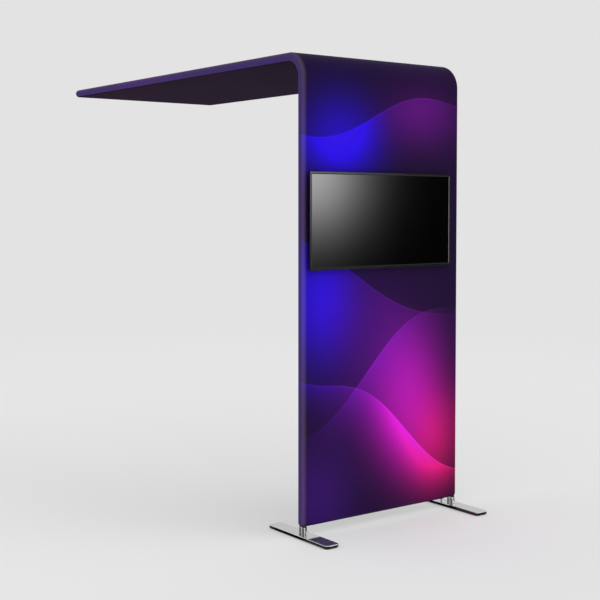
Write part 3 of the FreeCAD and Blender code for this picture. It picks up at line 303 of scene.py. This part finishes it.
class Wire:
    """A value on its way to a shader: arithmetic on it adds Math nodes to its tree."""

    def __init__(self, tree, socket):
        self.tree = tree
        self.socket = socket

    def maths(self, operation, *others):
        return self.tree.maths(operation, self, *others)

    def __add__(self, other):
        return self.maths("ADD", other)

    __radd__ = __add__

    def __sub__(self, other):
        return self.maths("SUBTRACT", other)

    def __rsub__(self, other):
        return self.tree.maths("SUBTRACT", other, self)

    def __mul__(self, other):
        return self.maths("MULTIPLY", other)

    __rmul__ = __mul__

    def __truediv__(self, other):
        return self.maths("DIVIDE", other)

    def __rtruediv__(self, other):
        return self.tree.maths("DIVIDE", other, self)

    def __neg__(self):
        return self * -1

    def step(self, low, high):
        """0 below low, 1 above high and an S-shaped rise between."""
        return self.tree.node("ShaderNodeMapRange", {"interpolation_type": "SMOOTHSTEP"},
                              {"Value": self, "From Min": low, "From Max": high})


class Tree:
    """A node tree that is built by calls, each of which gives the wire of its result."""

    def __init__(self, owner):
        owner.use_nodes = True
        self.nodes = owner.node_tree.nodes
        self.links = owner.node_tree.links

    def node(self, kind, settings=None, sockets=None, out=0):
        """A node of a kind, with its settings and then its sockets; gives the wire of one output."""
        made = self.nodes.new(kind)
        for name, value in (settings or {}).items():
            setattr(made, name, value)
        for name, value in (sockets or {}).items():
            self.feed(made.inputs[name], value)
        return Wire(self, made.outputs[out])

    def feed(self, socket, value):
        if isinstance(value, Wire):
            self.links.new(value.socket, socket)
        elif hasattr(value, "__len__") and len(socket.default_value) == 4:
            socket.default_value = (*value, 1.0)
        else:
            socket.default_value = value

    def maths(self, operation, *values):
        return self.node("ShaderNodeMath", {"operation": operation}, dict(enumerate(values)))

    def feed_surface(self, shader):
        """End the tree with a shader."""
        output = next(node for node in self.nodes if node.type.startswith("OUTPUT"))
        self.feed(output.inputs["Surface"], shader)


class Finish(Tree):
    """One material: a Principled shader and the nodes that feed it."""

    def __init__(self, name, **constants):
        self.material = bpy.data.materials.new(name)
        super().__init__(self.material)
        self.shader = self.nodes["Principled BSDF"]
        for socket, value in constants.items():
            self.set(socket.replace("_", " "), value)

    def set(self, socket, value):
        self.feed(self.shader.inputs[socket], value)

    def place(self):
        return self.node("ShaderNodeTexCoord", out="Object")

    def split(self, vector):
        return [self.node("ShaderNodeSeparateXYZ", None, {0: vector}, out=axis) for axis in range(3)]

    def noise(self, place, scale, detail=3.0, roughness=0.5):
        return self.node("ShaderNodeTexNoise", None,
                         {"Vector": place, "Scale": scale, "Detail": detail, "Roughness": roughness})

    def mix(self, factor, first, second):
        """A colour between two, by a factor."""
        return self.node("ShaderNodeMix", {"data_type": "RGBA"}, {0: factor, 6: first, 7: second}, out=2)

    def scaled(self, colour, amount):
        return self.node("ShaderNodeVectorMath", {"operation": "SCALE"}, {0: colour, "Scale": amount})

    def added(self, first, second):
        return self.node("ShaderNodeVectorMath", {"operation": "ADD"}, {0: first, 1: second})

    def bump(self, height, distance, strength):
        self.set("Normal", self.node("ShaderNodeBump", None, {
            "Height": height, "Distance": distance, "Strength": strength}))


def on_cut(finish):
    """Metres across from the cover's middle, and metres along from the floor, on the flat cut."""
    across, along, _ = finish.split(finish.node("ShaderNodeUVMap", {"uv_map": "cut"}))
    return across * CUT_SCALE - CUT_LEFT, along * CUT_SCALE - CUT_BELOW + HEM_Z


KNIT_PITCH = 0.0011
KNIT_LEAN = 0.9
KNIT_DEPTH = 0.00012
SLUB_SCALE = 55.0


def knit(finish, across, height, roughness):
    """The cloth's stitches: rows and columns of rounded loops, half a pitch apart in turn. Gives a factor
    for the cloth's colour: painted shade, darker where the loops are low, and a random slub tone."""
    turn = 2 * math.pi / KNIT_PITCH
    rows = (height * turn).maths("SINE")
    columns = (across * turn + rows * KNIT_LEAN).maths("SINE")
    loops = (rows * 0.5 + columns) * 0.33 + 0.5
    slub = finish.noise(finish.place(), SLUB_SCALE, 4.0, 0.6)
    finish.bump(loops + slub * 0.6, KNIT_DEPTH, 0.5)
    finish.set("Roughness", roughness + slub * 0.12 - loops * 0.05)
    # Painted shade: the colour is darker where the loops are low, with a random slub tone on top
    return 0.93 + loops * 0.08 + slub * 0.05


# Glows of the print: colour, middle across, middle height, reach across, reach up
GLOWS = (
    ((1.30, 0.012, 0.20), 0.33, 0.36, 0.16, 0.20),
    ((0.85, 0.010, 0.70), 0.17, 0.52, 0.20, 0.28),
    ((0.10, 0.003, 0.26), -0.06, 0.84, 0.30, 0.34),
    ((0.018, 0.002, 1.20), -0.40, 1.06, 0.18, 0.25),
    ((0.022, 0.002, 1.60), -0.26, 1.86, 0.20, 0.18),
    ((0.13, 0.003, 0.22), 0.24, 1.98, 0.22, 0.16),
    ((0.055, 0.006, 0.22), -0.38, 0.12, 0.20, 0.22),
    ((0.05, 0.004, 0.30), 0.20, 2.90, 0.34, 0.40),
    ((0.12, 0.004, 0.22), -0.20, 3.70, 0.34, 0.50),
)

# Waves of the print: height in the middle, slope, swing, length of a swing, start of the swing, softness
WAVES = (
    (0.80, 0.50, 0.10, 1.15, 0.6, 0.26),
    (0.52, -0.55, 0.07, 0.95, 2.2, 0.20),
    (1.16, -0.34, 0.06, 1.30, 4.0, 0.30),
    (1.99, 0.16, 0.06, 1.05, 0.4, 0.16),
    (2.90, 0.45, 0.09, 1.20, 1.0, 0.40),
    (3.75, -0.48, 0.08, 1.05, 3.0, 0.45),
)
BARE_GLOW = 0.22
VEIL_GLOW = 0.80
RIM_GLOW = 0.70
WAVE_EDGE = 0.0015
RIM_SPREAD = 0.000012
GROUND_VIOLET = (0.0155, 0.0055, 0.0360)
# Painted sheen on both rounded sides: a paler, greyer violet ground
SIDE_SHEEN_VIOLET = (0.058, 0.032, 0.160)
# Painted highlight down the left edge: its colour, its middle across and its reach
PAINTED_EDGE_HIGHLIGHT = (0.066, 0.046, 0.052)
EDGE_HIGHLIGHT_MIDDLE = HALF_SPACING + 0.012
EDGE_HIGHLIGHT_REACH = 0.011
# Where the painted side sheen starts, and how much the print's glows are dimmed under it
SIDE_SHEEN_ZONE = (HALF_SPACING + 0.008, HALF_SPACING + 0.032)
PRINT_DIMMING_UNDER_SHEEN = 0.7
FULL_INK = (0.97, 0.97, 0.97)


def printed_cloth():
    """Stretch cloth with a generic print: soft glows on dark violet, brighter below the edges of waves, as
    if through overlapping veils. A paler band down the left edge is a painted highlight, and both rounded
    sides are painted a paler violet sheen, with the print's glows dimmed under it."""
    finish = Finish("printed_cloth", Specular_IOR_Level=0.03)
    across, height = on_cut(finish)
    light = (0.0, 0.0, 0.0)
    for colour, middle, level, reach, rise in GLOWS:
        sideways = (across - middle) / reach
        upwards = (height - level) / rise
        amount = (-(sideways * sideways) - upwards * upwards).maths("EXPONENT")
        light = finish.added(light, finish.scaled(colour, amount))
    veils = BARE_GLOW
    for level, slope, swing, length, start, softness in WAVES:
        line = (across * (2 * math.pi / length) + start).maths("SINE") * swing + across * slope + level
        below = line - height
        veil = below.step(-WAVE_EDGE, WAVE_EDGE) * (below / -softness).maths("EXPONENT")
        rim = (-(below * below) / RIM_SPREAD).maths("EXPONENT")
        veils = veils + veil * VEIL_GLOW + rim * RIM_GLOW
    # Both rounded sides take the painted sheen: the paler violet ground, with the print's glows dimmed
    sideways = across.maths("ABSOLUTE")
    sheen_sides = sideways.step(*SIDE_SHEEN_ZONE)
    # The painted highlight down the left edge, added to the ground
    from_edge_highlight = (across + EDGE_HIGHLIGHT_MIDDLE) / EDGE_HIGHLIGHT_REACH
    shine = finish.scaled(PAINTED_EDGE_HIGHLIGHT, (-(from_edge_highlight * from_edge_highlight)).maths("EXPONENT"))
    ground = finish.added(finish.mix(sheen_sides, GROUND_VIOLET, SIDE_SHEEN_VIOLET), shine)
    colour = finish.added(ground, finish.scaled(light, veils - sheen_sides * veils * PRINT_DIMMING_UNDER_SHEEN))
    inked = finish.node("ShaderNodeVectorMath", {"operation": "MINIMUM"}, {0: colour, 1: FULL_INK})
    finish.set("Base Color", finish.scaled(inked, knit(finish, across, height, 0.52)))
    return finish.material


def dark_cloth():
    """The rear cloth: dyed near-black violet, with the same stitches."""
    finish = Finish("dark_cloth", Specular_IOR_Level=0.01)
    across, height = on_cut(finish)
    drift = finish.noise(finish.place(), 1.3, 2.0)
    colour = finish.mix(drift, (0.0170, 0.0068, 0.0220), (0.0250, 0.0105, 0.0320))
    finish.set("Base Color", finish.scaled(colour, knit(finish, across, height, 0.80)))
    return finish.material


STITCH_PITCH = 0.0032


def seam_thread():
    """Overlocked edge: slanting threads wound round the bead."""
    finish = Finish("seam_thread", Specular_IOR_Level=0.1)
    around, length, _ = finish.split(finish.node("ShaderNodeUVMap", {"uv_map": "cut"}))
    wound = ((length * (CUT_SCALE / STITCH_PITCH) + around) * (2 * math.pi)).maths("SINE") * 0.5 + 0.5
    finish.set("Base Color", finish.mix(wound, (0.010, 0.004, 0.018), (0.035, 0.018, 0.060)))
    finish.set("Roughness", 0.75 - wound * 0.15)
    finish.bump(wound, 0.0003, 0.6)
    return finish.material


PLATE_TOP = plate_high.z
# Bright chrome of the posts and of the painted highlight on the rim, and the painted black reflection on the
# plates' sides
BRIGHT_CHROME = (0.93, 0.93, 0.93)
PAINTED_REFLECTION_BLACK = (0.022, 0.022, 0.024)

# Heights over the plates' tops where one painted tone of the feet turns into the next: the painted black
# reflection of the sides, the painted highlight of the rim, the duller tops and the bright posts
RIM_STARTS = (-0.0032, -0.0020)
TOP_STARTS = (-0.0008, -0.0003)
POSTS_START = (0.0003, 0.0008)


def foot_chrome():
    """Polished chrome with the faintest wiping marks, its tone painted by height: the plates' tops duller than
    the bright posts, a painted highlight on the plates' rounded rim, and below it the plates' sides painted
    black as a painted reflection."""
    finish = Finish("foot_chrome", Metallic=0.90)
    place = finish.place()
    stretched = finish.node("ShaderNodeMapping", None, {"Vector": place, "Scale": (1.0, 0.08, 1.0)})
    wiped = finish.noise(stretched, 220.0, 3.0)
    cloud = finish.noise(place, 9.0, 3.0)
    chrome = finish.mix(cloud, (0.57, 0.575, 0.585), (0.63, 0.635, 0.64))
    # Tones painted by height: black sides as a painted reflection, a painted highlight on the rim, duller tops
    # and bright posts
    over_top = finish.split(place)[2] - PLATE_TOP
    colour = finish.mix(over_top.step(*RIM_STARTS), PAINTED_REFLECTION_BLACK, BRIGHT_CHROME)
    colour = finish.mix(over_top.step(*TOP_STARTS), colour, chrome)
    finish.set("Base Color", finish.mix(over_top.step(*POSTS_START), colour, BRIGHT_CHROME))
    finish.set("Roughness", 0.04 + wiped * 0.03 + cloud * 0.03)
    return finish.material


UPRIGHT_GRAIN = (1.0, 1.0, 0.05)
SIDEWAYS_GRAIN = (0.05, 1.0, 1.0)


def drawn_metal(name, dark, light, roughness, stretch=UPRIGHT_GRAIN):
    """Metal with fine drawn lines along one direction."""
    finish = Finish(name, Metallic=1.0)
    lines = finish.node("ShaderNodeMapping", None, {"Vector": finish.place(), "Scale": stretch})
    grain = finish.noise(lines, 900.0, 2.0)
    finish.set("Base Color", finish.mix(grain, dark, light))
    finish.set("Roughness", roughness + grain * 0.12)
    finish.bump(grain, 0.00004, 0.3)
    return finish.material


def moulded(name, dark, light, roughness, scale, depth, **constants):
    """Moulded or coated surface: a fine pebbled grain and a little drift of tone."""
    finish = Finish(name, **constants)
    place = finish.place()
    grain = finish.noise(place, scale, 2.0)
    drift = finish.noise(place, 14.0, 3.0)
    finish.set("Base Color", finish.mix(drift, dark, light))
    finish.set("Roughness", roughness + grain * 0.10 + drift * 0.06)
    finish.bump(grain, depth, 0.5)
    return finish.material


def screen_glass():
    """Switched-off display behind an anti-glare front: near black, with a broad dull gloss."""
    finish = Finish("screen_glass", IOR=1.5)
    haze = finish.noise(finish.place(), 6.0, 3.0)
    dots = finish.noise(finish.place(), 1500.0, 1.0)
    finish.set("Base Color", finish.mix(haze, (0.0006, 0.0006, 0.0007), (0.0010, 0.0010, 0.0011)))
    finish.set("Roughness", 0.07 + haze * 0.02 + dots * 0.02)
    return finish.material


def circuit_board():
    """Green solder mask with paler tracks on a fine square pattern."""
    finish = Finish("circuit_board", Specular_IOR_Level=0.5)
    tracks = finish.node("ShaderNodeTexBrick", {"offset": 0.5}, {
        "Vector": finish.place(), "Scale": 120.0, "Mortar Size": 0.04}, out="Fac")
    finish.set("Base Color", finish.mix(tracks, (0.010, 0.090, 0.035), (0.030, 0.200, 0.080)))
    finish.set("Roughness", 0.40 + tracks * 0.2)
    return finish.material


DEEP_BLACK = (0.003, 0.003, 0.0033)
BLACK = (0.006, 0.006, 0.0065)
SOFT_BLACK = (0.012, 0.012, 0.0125)
FINISHES = {
    "tube_aluminium": drawn_metal("tube_aluminium", (0.60, 0.61, 0.62), (0.74, 0.75, 0.76), 0.30),
    "corner_nylon": moulded("corner_nylon", (0.010, 0.008, 0.013), (0.017, 0.013, 0.021), 0.60, 900.0,
                            0.0001),
    "button_steel": drawn_metal("button_steel", (0.50, 0.50, 0.51), (0.62, 0.62, 0.63), 0.28, SIDEWAYS_GRAIN),
    "spring_steel": drawn_metal("spring_steel", (0.22, 0.23, 0.26), (0.34, 0.35, 0.38), 0.30),
    "bright_steel": drawn_metal("bright_steel", (0.52, 0.52, 0.53), (0.64, 0.64, 0.65), 0.26),
    "foot_chrome": foot_chrome(),
    "sole_rubber": moulded("sole_rubber", (0.010, 0.010, 0.010), (0.020, 0.020, 0.020), 0.80, 600.0, 0.0002),
    "printed_fabric": printed_cloth(),
    "dark_fabric": dark_cloth(),
    "zip_tape": moulded("zip_tape", (0.008, 0.006, 0.012), (0.016, 0.010, 0.022), 0.65, 1800.0, 0.0001),
    "zip_metal": drawn_metal("zip_metal", (0.20, 0.20, 0.22), (0.32, 0.32, 0.34), 0.24, SIDEWAYS_GRAIN),
    "screen_frame_plastic": moulded("screen_frame_plastic", DEEP_BLACK, BLACK, 0.10, 1600.0, 0.00002,
                                    Specular_IOR_Level=0.30),
    "screen_glass": screen_glass(),
    "sensor_glass": moulded("sensor_glass", (0.02, 0.004, 0.005), (0.03, 0.006, 0.008), 0.12, 200.0, 0.00001),
    "sheet_steel": drawn_metal("sheet_steel", (0.42, 0.43, 0.44), (0.54, 0.55, 0.56), 0.38, SIDEWAYS_GRAIN),
    "screen_back_plastic": moulded("screen_back_plastic", BLACK, SOFT_BLACK, 0.55, 1200.0, 0.0001),
    "circuit_board": circuit_board(),
    "plate_steel": moulded("plate_steel", (0.014, 0.014, 0.015), (0.024, 0.024, 0.026), 0.45, 1000.0, 0.0001),
}


def finish_nodes():
    """Every carried-over node takes the finish of its own slot."""
    for part in frame["record"]["subparts"]:
        mesh = frame["nodes"][part["node"]].data
        mesh.materials.clear()
        mesh.materials.append(FINISHES[part["material_slot"]])


def dress(piece, material, slot, *replaced):
    """Give a frame piece its material, hang it on the frame's body and hide the nodes that it stands for; slot
    is not used.
    """
    piece.data.materials.append(material)
    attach(piece, "frame")
    if replaced:
        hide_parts(*replaced)


finish_nodes()

# The cover: two cloths and the seam between them
front, front_edge = cover_cloth("printed_front_cloth", 1)
rear, _ = cover_cloth("dark_rear_cloth", -1)
dress(front, FINISHES["printed_fabric"], "printed_fabric", "front_cover")
dress(rear, FINISHES["dark_fabric"], "dark_fabric", "rear_cover")

SEAM_HALF_WIDTH = 0.0013
SEAM_HEIGHT = 0.0005
SEAM_SIDES = 12


def edge_seam():
    """The bead on the seam, from one foot socket round both sides and the tip to the other."""
    points = front_edge.point(front_edge.seam)
    outward = front_edge.direction(front_edge.seam)
    start = int(np.argmin(front_edge.flat[:, 0] + front_edge.flat[:, 1]))
    order = np.roll(np.arange(len(points)), -start)
    order = order[front_edge.from_hem[order] > SOCKET_TURN + SMALL_ANGLE]
    apart = np.linalg.norm(np.diff(points[order], axis=0), axis=1) > NEAR
    order = order[np.concatenate([[True], apart])]
    return tube("edge_seam", points[order], outward[order], SEAM_HALF_WIDTH, SEAM_HEIGHT, SEAM_SIDES)


seam = edge_seam()
dress(seam, seam_thread(), "dark_fabric")

TUBES = [f"{side}_{tube_name}" for side in ("left", "right")
         for tube_name in ("lower_upright", "bend_tube", "canopy_rail")]
TUBES += ["bottom_crossbar", "canopy_end_crossbar"]

COIL_PITCH = 0.0016
COIL_TURN_STEPS = 8
COIL_FROM_MIDDLE = 0.0008
COIL_HALF_WIDTH = 0.0011
COIL_HALF_HEIGHT = 0.00012
COIL_LIFT = 0.00002
WIRE_HALF_WIDTH = 0.00025
WIRE_HALF_HEIGHT = 0.00012
WIRE_SIDES = 6


def zip_coil(name, side):
    """One row of the zip's teeth: a flattened spiral along the hem, of flattened wire."""
    turns = math.floor(2 * ZIP_HALF_LENGTH / COIL_PITCH) - 2
    turn = np.arange(turns * COIL_TURN_STEPS + 1) / COIL_TURN_STEPS
    angle = 2 * math.pi * turn
    x = (turn - turns / 2 + side / 4) * COIL_PITCH
    y = PANEL_Y + side * COIL_FROM_MIDDLE + COIL_HALF_WIDTH * np.cos(angle)
    z = zip_low.z + COIL_LIFT + COIL_HALF_HEIGHT * np.sin(angle)
    middle = np.stack([x, y, z], axis=-1)
    outward = np.stack([np.zeros_like(x), np.cos(angle), np.sin(angle)], axis=-1)
    return tube(name, middle, outward, WIRE_HALF_WIDTH, WIRE_HALF_HEIGHT, WIRE_SIDES)


for coil_name, coil_side in (("front_zip_coil", -1), ("rear_zip_coil", 1)):
    dress(zip_coil(coil_name, coil_side), FINISHES["zip_tape"], "zip_tape")


# Leaf springs behind the snap buttons, by the direction along the tube that each points in
SPRING_POINTS = {"bottom": (0, 0, 1), "upright": (0, 0, 1), "canopy": (0, 1, 0), "tip": (0, -1, 0)}
SPRING_THICKNESS = 0.0006
SPRING_WIDTH = 0.008
SPRING_FRONT = 0.01534 - SPRING_THICKNESS / 2
SPRING_REAR = -0.01740 + SPRING_THICKNESS / 2
SPRING_FOLD = -0.0297
SPRING_PAD = 0.005
SPRING_STEPS = 13
FOLD_ROUNDNESS = 0.06


def leaf_spring(name, seat, inward, along):
    """A strip from the pad on a button back to a round fold, and on to the pad on the tube's far wall.
    Between the pads its reach along the tube follows a hyperbola over its level across the tube."""
    level = np.linspace(SPRING_FRONT, SPRING_REAR, SPRING_STEPS)
    share = level / np.where(level > 0, SPRING_FRONT, SPRING_REAR)
    opened = np.hypot(share, FOLD_ROUNDNESS) - FOLD_ROUNDNESS
    opened /= math.hypot(1, FOLD_ROUNDNESS) - FOLD_ROUNDNESS
    reach = SPRING_FOLD - opened * (SPRING_FOLD + SPRING_PAD)
    level = np.pad(level, 1, mode="edge")
    reach = np.pad(reach, 1, constant_values=SPRING_PAD)
    middle = seat + level[:, None] * inward + reach[:, None] * along
    outward = np.cross(np.cross(inward, along), np.gradient(middle, axis=0))
    outward /= np.linalg.norm(outward, axis=1)[:, None]
    corner = math.sqrt(2) / 2
    return tube(name, middle, outward, SPRING_WIDTH * corner, SPRING_THICKNESS * corner, STRIP_SIDES)


def seat_spring(place, side, inward):
    """Put a spring behind one button, in place of the node of the buttons' springs."""
    button = f"{place}_{side}_snap_button"
    button_low, button_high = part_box(button)
    seat = np.array((button_low + button_high) / 2)
    seat[0] = -HALF_SPACING * inward[0]
    spring = leaf_spring(f"{place}_{side}_leaf_spring", seat, inward, np.array(SPRING_POINTS[place]))
    spring.data.materials.append(FINISHES["spring_steel"])
    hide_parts("snap_button_springs")
    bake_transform(spring)


for spring_place in SPRING_POINTS:
    seat_spring(spring_place, "left", ACROSS)
    seat_spring(spring_place, "right", -ACROSS)


# Studio

PALE = (0.768, 0.768, 0.768)
SKY = (0.75, 0.75, 0.75)
FLOOR_WHITE = (0.97, 0.97, 0.97)
NO_COLOUR = (0.0, 0.0, 0.0)
FLOOR_HALF_WIDTH = 30.0
FLOOR_FADE = (3.5, 9.0)
DIFFUSE_SHARE = 0.58

# The graded board, and on it, from its glow's middle, the edges and the strip
BOARD_PLACE = (5.49, -9.0, 2.07)
BOARD_LEFT, BOARD_RIGHT = -8.4, 5.6
BOARD_BELOW, BOARD_ABOVE = -2.07, 2.3
GLOW_STRENGTH = 10.2
GLOW_REACH = 0.73
STRIP_MIDDLE = -3.57
STRIP_REACH = 0.40
STRIP_LEVEL = -0.72
STRIP_ENDS = (0.72, 0.60)
STRIP_SHARE = 1.3

# The black boards: the tall one's ends, and the corners of a floor card from a foot's middle
TALL_NEAR_END = (-5.9, -4.6)
TALL_FAR_END = (-2.4, 4.6)
TALL_HEIGHT = 2.4
CARD_CORNERS = ((-0.18, -0.12), (-0.04, -0.035), (-0.04, 0.20), (-0.18, 0.20))
CARD_HEIGHT = 0.0005

LAMP_STRENGTH = 0.40
LAMP_SPREAD = math.radians(35)
LAMP_DIRECTION = Vector((-0.55, 0.62, -0.75))
SOFTBOX_PLACE = Vector((-4.6, 0.4, 2.4))
SOFTBOX_TARGET = Vector((-0.5, -0.5, 1.4))
SOFTBOX_WIDTH = 1.2
SOFTBOX_HEIGHT = 2.4
SOFTBOX_POWER = 12.0

CAMERA_PLACE = (-3.7025, -5.3630, 1.5529)
CAMERA_TIP = 0.0430
CAMERA_TURN = -0.6398
CAMERA_LENS = 69.635
CAMERA_SHIFT = -0.0733
SENSOR_WIDTH = 36.0


def studio_floor():
    """A wide pale floor: part of its tone is its own glow, and part is the light that falls on it."""
    half = FLOOR_HALF_WIDTH
    corners = np.array([[-half, -half, 0], [half, -half, 0], [half, half, 0], [-half, half, 0]])
    floor = new_piece("studio_floor", corners, ONE_QUAD, smooth=False)
    finish = Finish("studio_floor", Roughness=1.0, Specular_IOR_Level=0.0, Base_Color=FLOOR_WHITE)
    glow = finish.node("ShaderNodeEmission", None, {"Color": PALE, "Strength": 1.0})
    middle = finish.node("ShaderNodeVectorMath", {"operation": "LENGTH"}, {0: finish.place()}, out="Value")
    lit = DIFFUSE_SHARE - middle.step(*FLOOR_FADE) * DIFFUSE_SHARE
    shown = finish.node("ShaderNodeMixShader", None, {
        0: lit, 1: glow, 2: Wire(finish, finish.shader.outputs[0])})
    finish.feed_surface(shown)
    floor.data.materials.append(finish.material)


def studio_world():
    """Pale all round where it is seen or mirrored, and a little dimmer as a light."""
    world = bpy.data.worlds.new("studio")
    tree = Tree(world)
    seen = tree.node("ShaderNodeBackground", None, {"Color": PALE, "Strength": 1.0})
    lit = tree.node("ShaderNodeBackground", None, {"Color": SKY, "Strength": 1.0})
    camera, glossy, clear = (tree.node("ShaderNodeLightPath", out=ray) for ray in (
        "Is Camera Ray", "Is Glossy Ray", "Is Transmission Ray"))
    direct = camera.maths("MAXIMUM", glossy).maths("MAXIMUM", clear)
    tree.feed_surface(tree.node("ShaderNodeMixShader", None, {0: direct, 1: lit, 2: seen}))
    bpy.context.scene.world = world


def only_mirrored(piece):
    """Keep a stage piece out of the picture and out of the light: only mirrors show it."""
    piece.visible_camera = False
    piece.visible_diffuse = False
    piece.visible_shadow = False


def graded_board():
    """A board at the front right, out of the picture: black, with one round glow for the screen's glass to
    mirror and an upright strip for the slope of its right bezel. It lights nothing."""
    corners = np.array([[BOARD_LEFT, 0.0, BOARD_BELOW], [BOARD_RIGHT, 0.0, BOARD_BELOW],
                        [BOARD_RIGHT, 0.0, BOARD_ABOVE], [BOARD_LEFT, 0.0, BOARD_ABOVE]])
    board = new_piece("graded_board", corners, ONE_QUAD, smooth=False)
    board.location = BOARD_PLACE
    finish = Finish("graded_board", Base_Color=NO_COLOUR, Specular_IOR_Level=0.0,
                    Emission_Strength=GLOW_STRENGTH)
    place = finish.place()
    away = finish.node("ShaderNodeVectorMath", {"operation": "LENGTH"}, {0: place}, out="Value") / GLOW_REACH
    sideways, _, upwards = finish.split(place)
    beside = (sideways - STRIP_MIDDLE) / STRIP_REACH
    level = (upwards - STRIP_LEVEL).maths("ABSOLUTE")
    strip = (-(beside * beside)).maths("EXPONENT") * level.step(*STRIP_ENDS)
    shine = (-(away * away)).maths("EXPONENT") + strip * STRIP_SHARE
    finish.set("Emission Color", finish.scaled((1.0, 1.0, 1.0), shine))
    board.data.materials.append(finish.material)
    only_mirrored(board)


def black_boards():
    """Black boards for the chrome posts to mirror: a tall one far to the left, and on the floor one behind
    each foot's left side and one before its right side."""
    boxes = [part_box("left_foot_plate"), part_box("right_foot_plate")]
    middle = np.array([(low + high) / 2 for low, high in boxes])
    middle[:, 2] = CARD_HEIGHT
    behind = np.pad(np.array(CARD_CORNERS), ((0, 0), (0, 1)))
    tall = np.array([[*TALL_NEAR_END, 0.0], [*TALL_FAR_END, 0.0],
                     [*TALL_FAR_END, TALL_HEIGHT], [*TALL_NEAR_END, TALL_HEIGHT]])
    floor_cards = np.concatenate([middle[:, None] + behind, middle[:, None] - behind])
    corners = np.concatenate([tall, floor_cards.reshape(-1, 3)])
    boards = new_piece("black_boards", corners, np.arange(len(corners)).reshape(-1, 4), smooth=False)
    finish = Finish("board_black", Base_Color=NO_COLOUR, Specular_IOR_Level=0.0)
    boards.data.materials.append(finish.material)
    only_mirrored(boards)


def front_lamp():
    """A broad lamp high at the front right, even over the whole floor, whose shadows fall back and left."""
    lamp = bpy.data.lights.new("front_lamp", "SUN")
    lamp.energy = LAMP_STRENGTH
    lamp.angle = LAMP_SPREAD
    source = bpy.data.objects.new("front_lamp", lamp)
    source.rotation_euler = LAMP_DIRECTION.to_track_quat("-Z", "Y").to_euler()
    source.visible_camera = False
    source.visible_glossy = False
    bpy.context.scene.collection.objects.link(source)


def left_softbox():
    """A weak upright softbox at the left, for the sides of the panel and the canopy."""
    lamp = bpy.data.lights.new("left_softbox", "AREA")
    lamp.shape = "RECTANGLE"
    lamp.size = SOFTBOX_WIDTH
    lamp.size_y = SOFTBOX_HEIGHT
    lamp.energy = SOFTBOX_POWER
    source = bpy.data.objects.new("left_softbox", lamp)
    source.location = SOFTBOX_PLACE
    source.rotation_euler = (SOFTBOX_TARGET - SOFTBOX_PLACE).to_track_quat("-Z", "Y").to_euler()
    source.visible_camera = False
    bpy.context.scene.collection.objects.link(source)


def photo_camera():
    """A camera at eye height, in front of the booth's left edge, tipped slightly down and shifted."""
    lens = bpy.data.cameras.new("photo_camera")
    lens.sensor_width = SENSOR_WIDTH
    lens.lens = CAMERA_LENS
    lens.shift_y = CAMERA_SHIFT
    camera = bpy.data.objects.new("photo_camera", lens)
    camera.location = CAMERA_PLACE
    camera.rotation_euler = (math.pi / 2 - CAMERA_TIP, 0.0, CAMERA_TURN)
    bpy.context.scene.collection.objects.link(camera)
    bpy.context.scene.camera = camera


studio_floor()
studio_world()
graded_board()
black_boards()
front_lamp()
left_softbox()
photo_camera()
bpy.context.scene.view_settings.view_transform = "Standard"
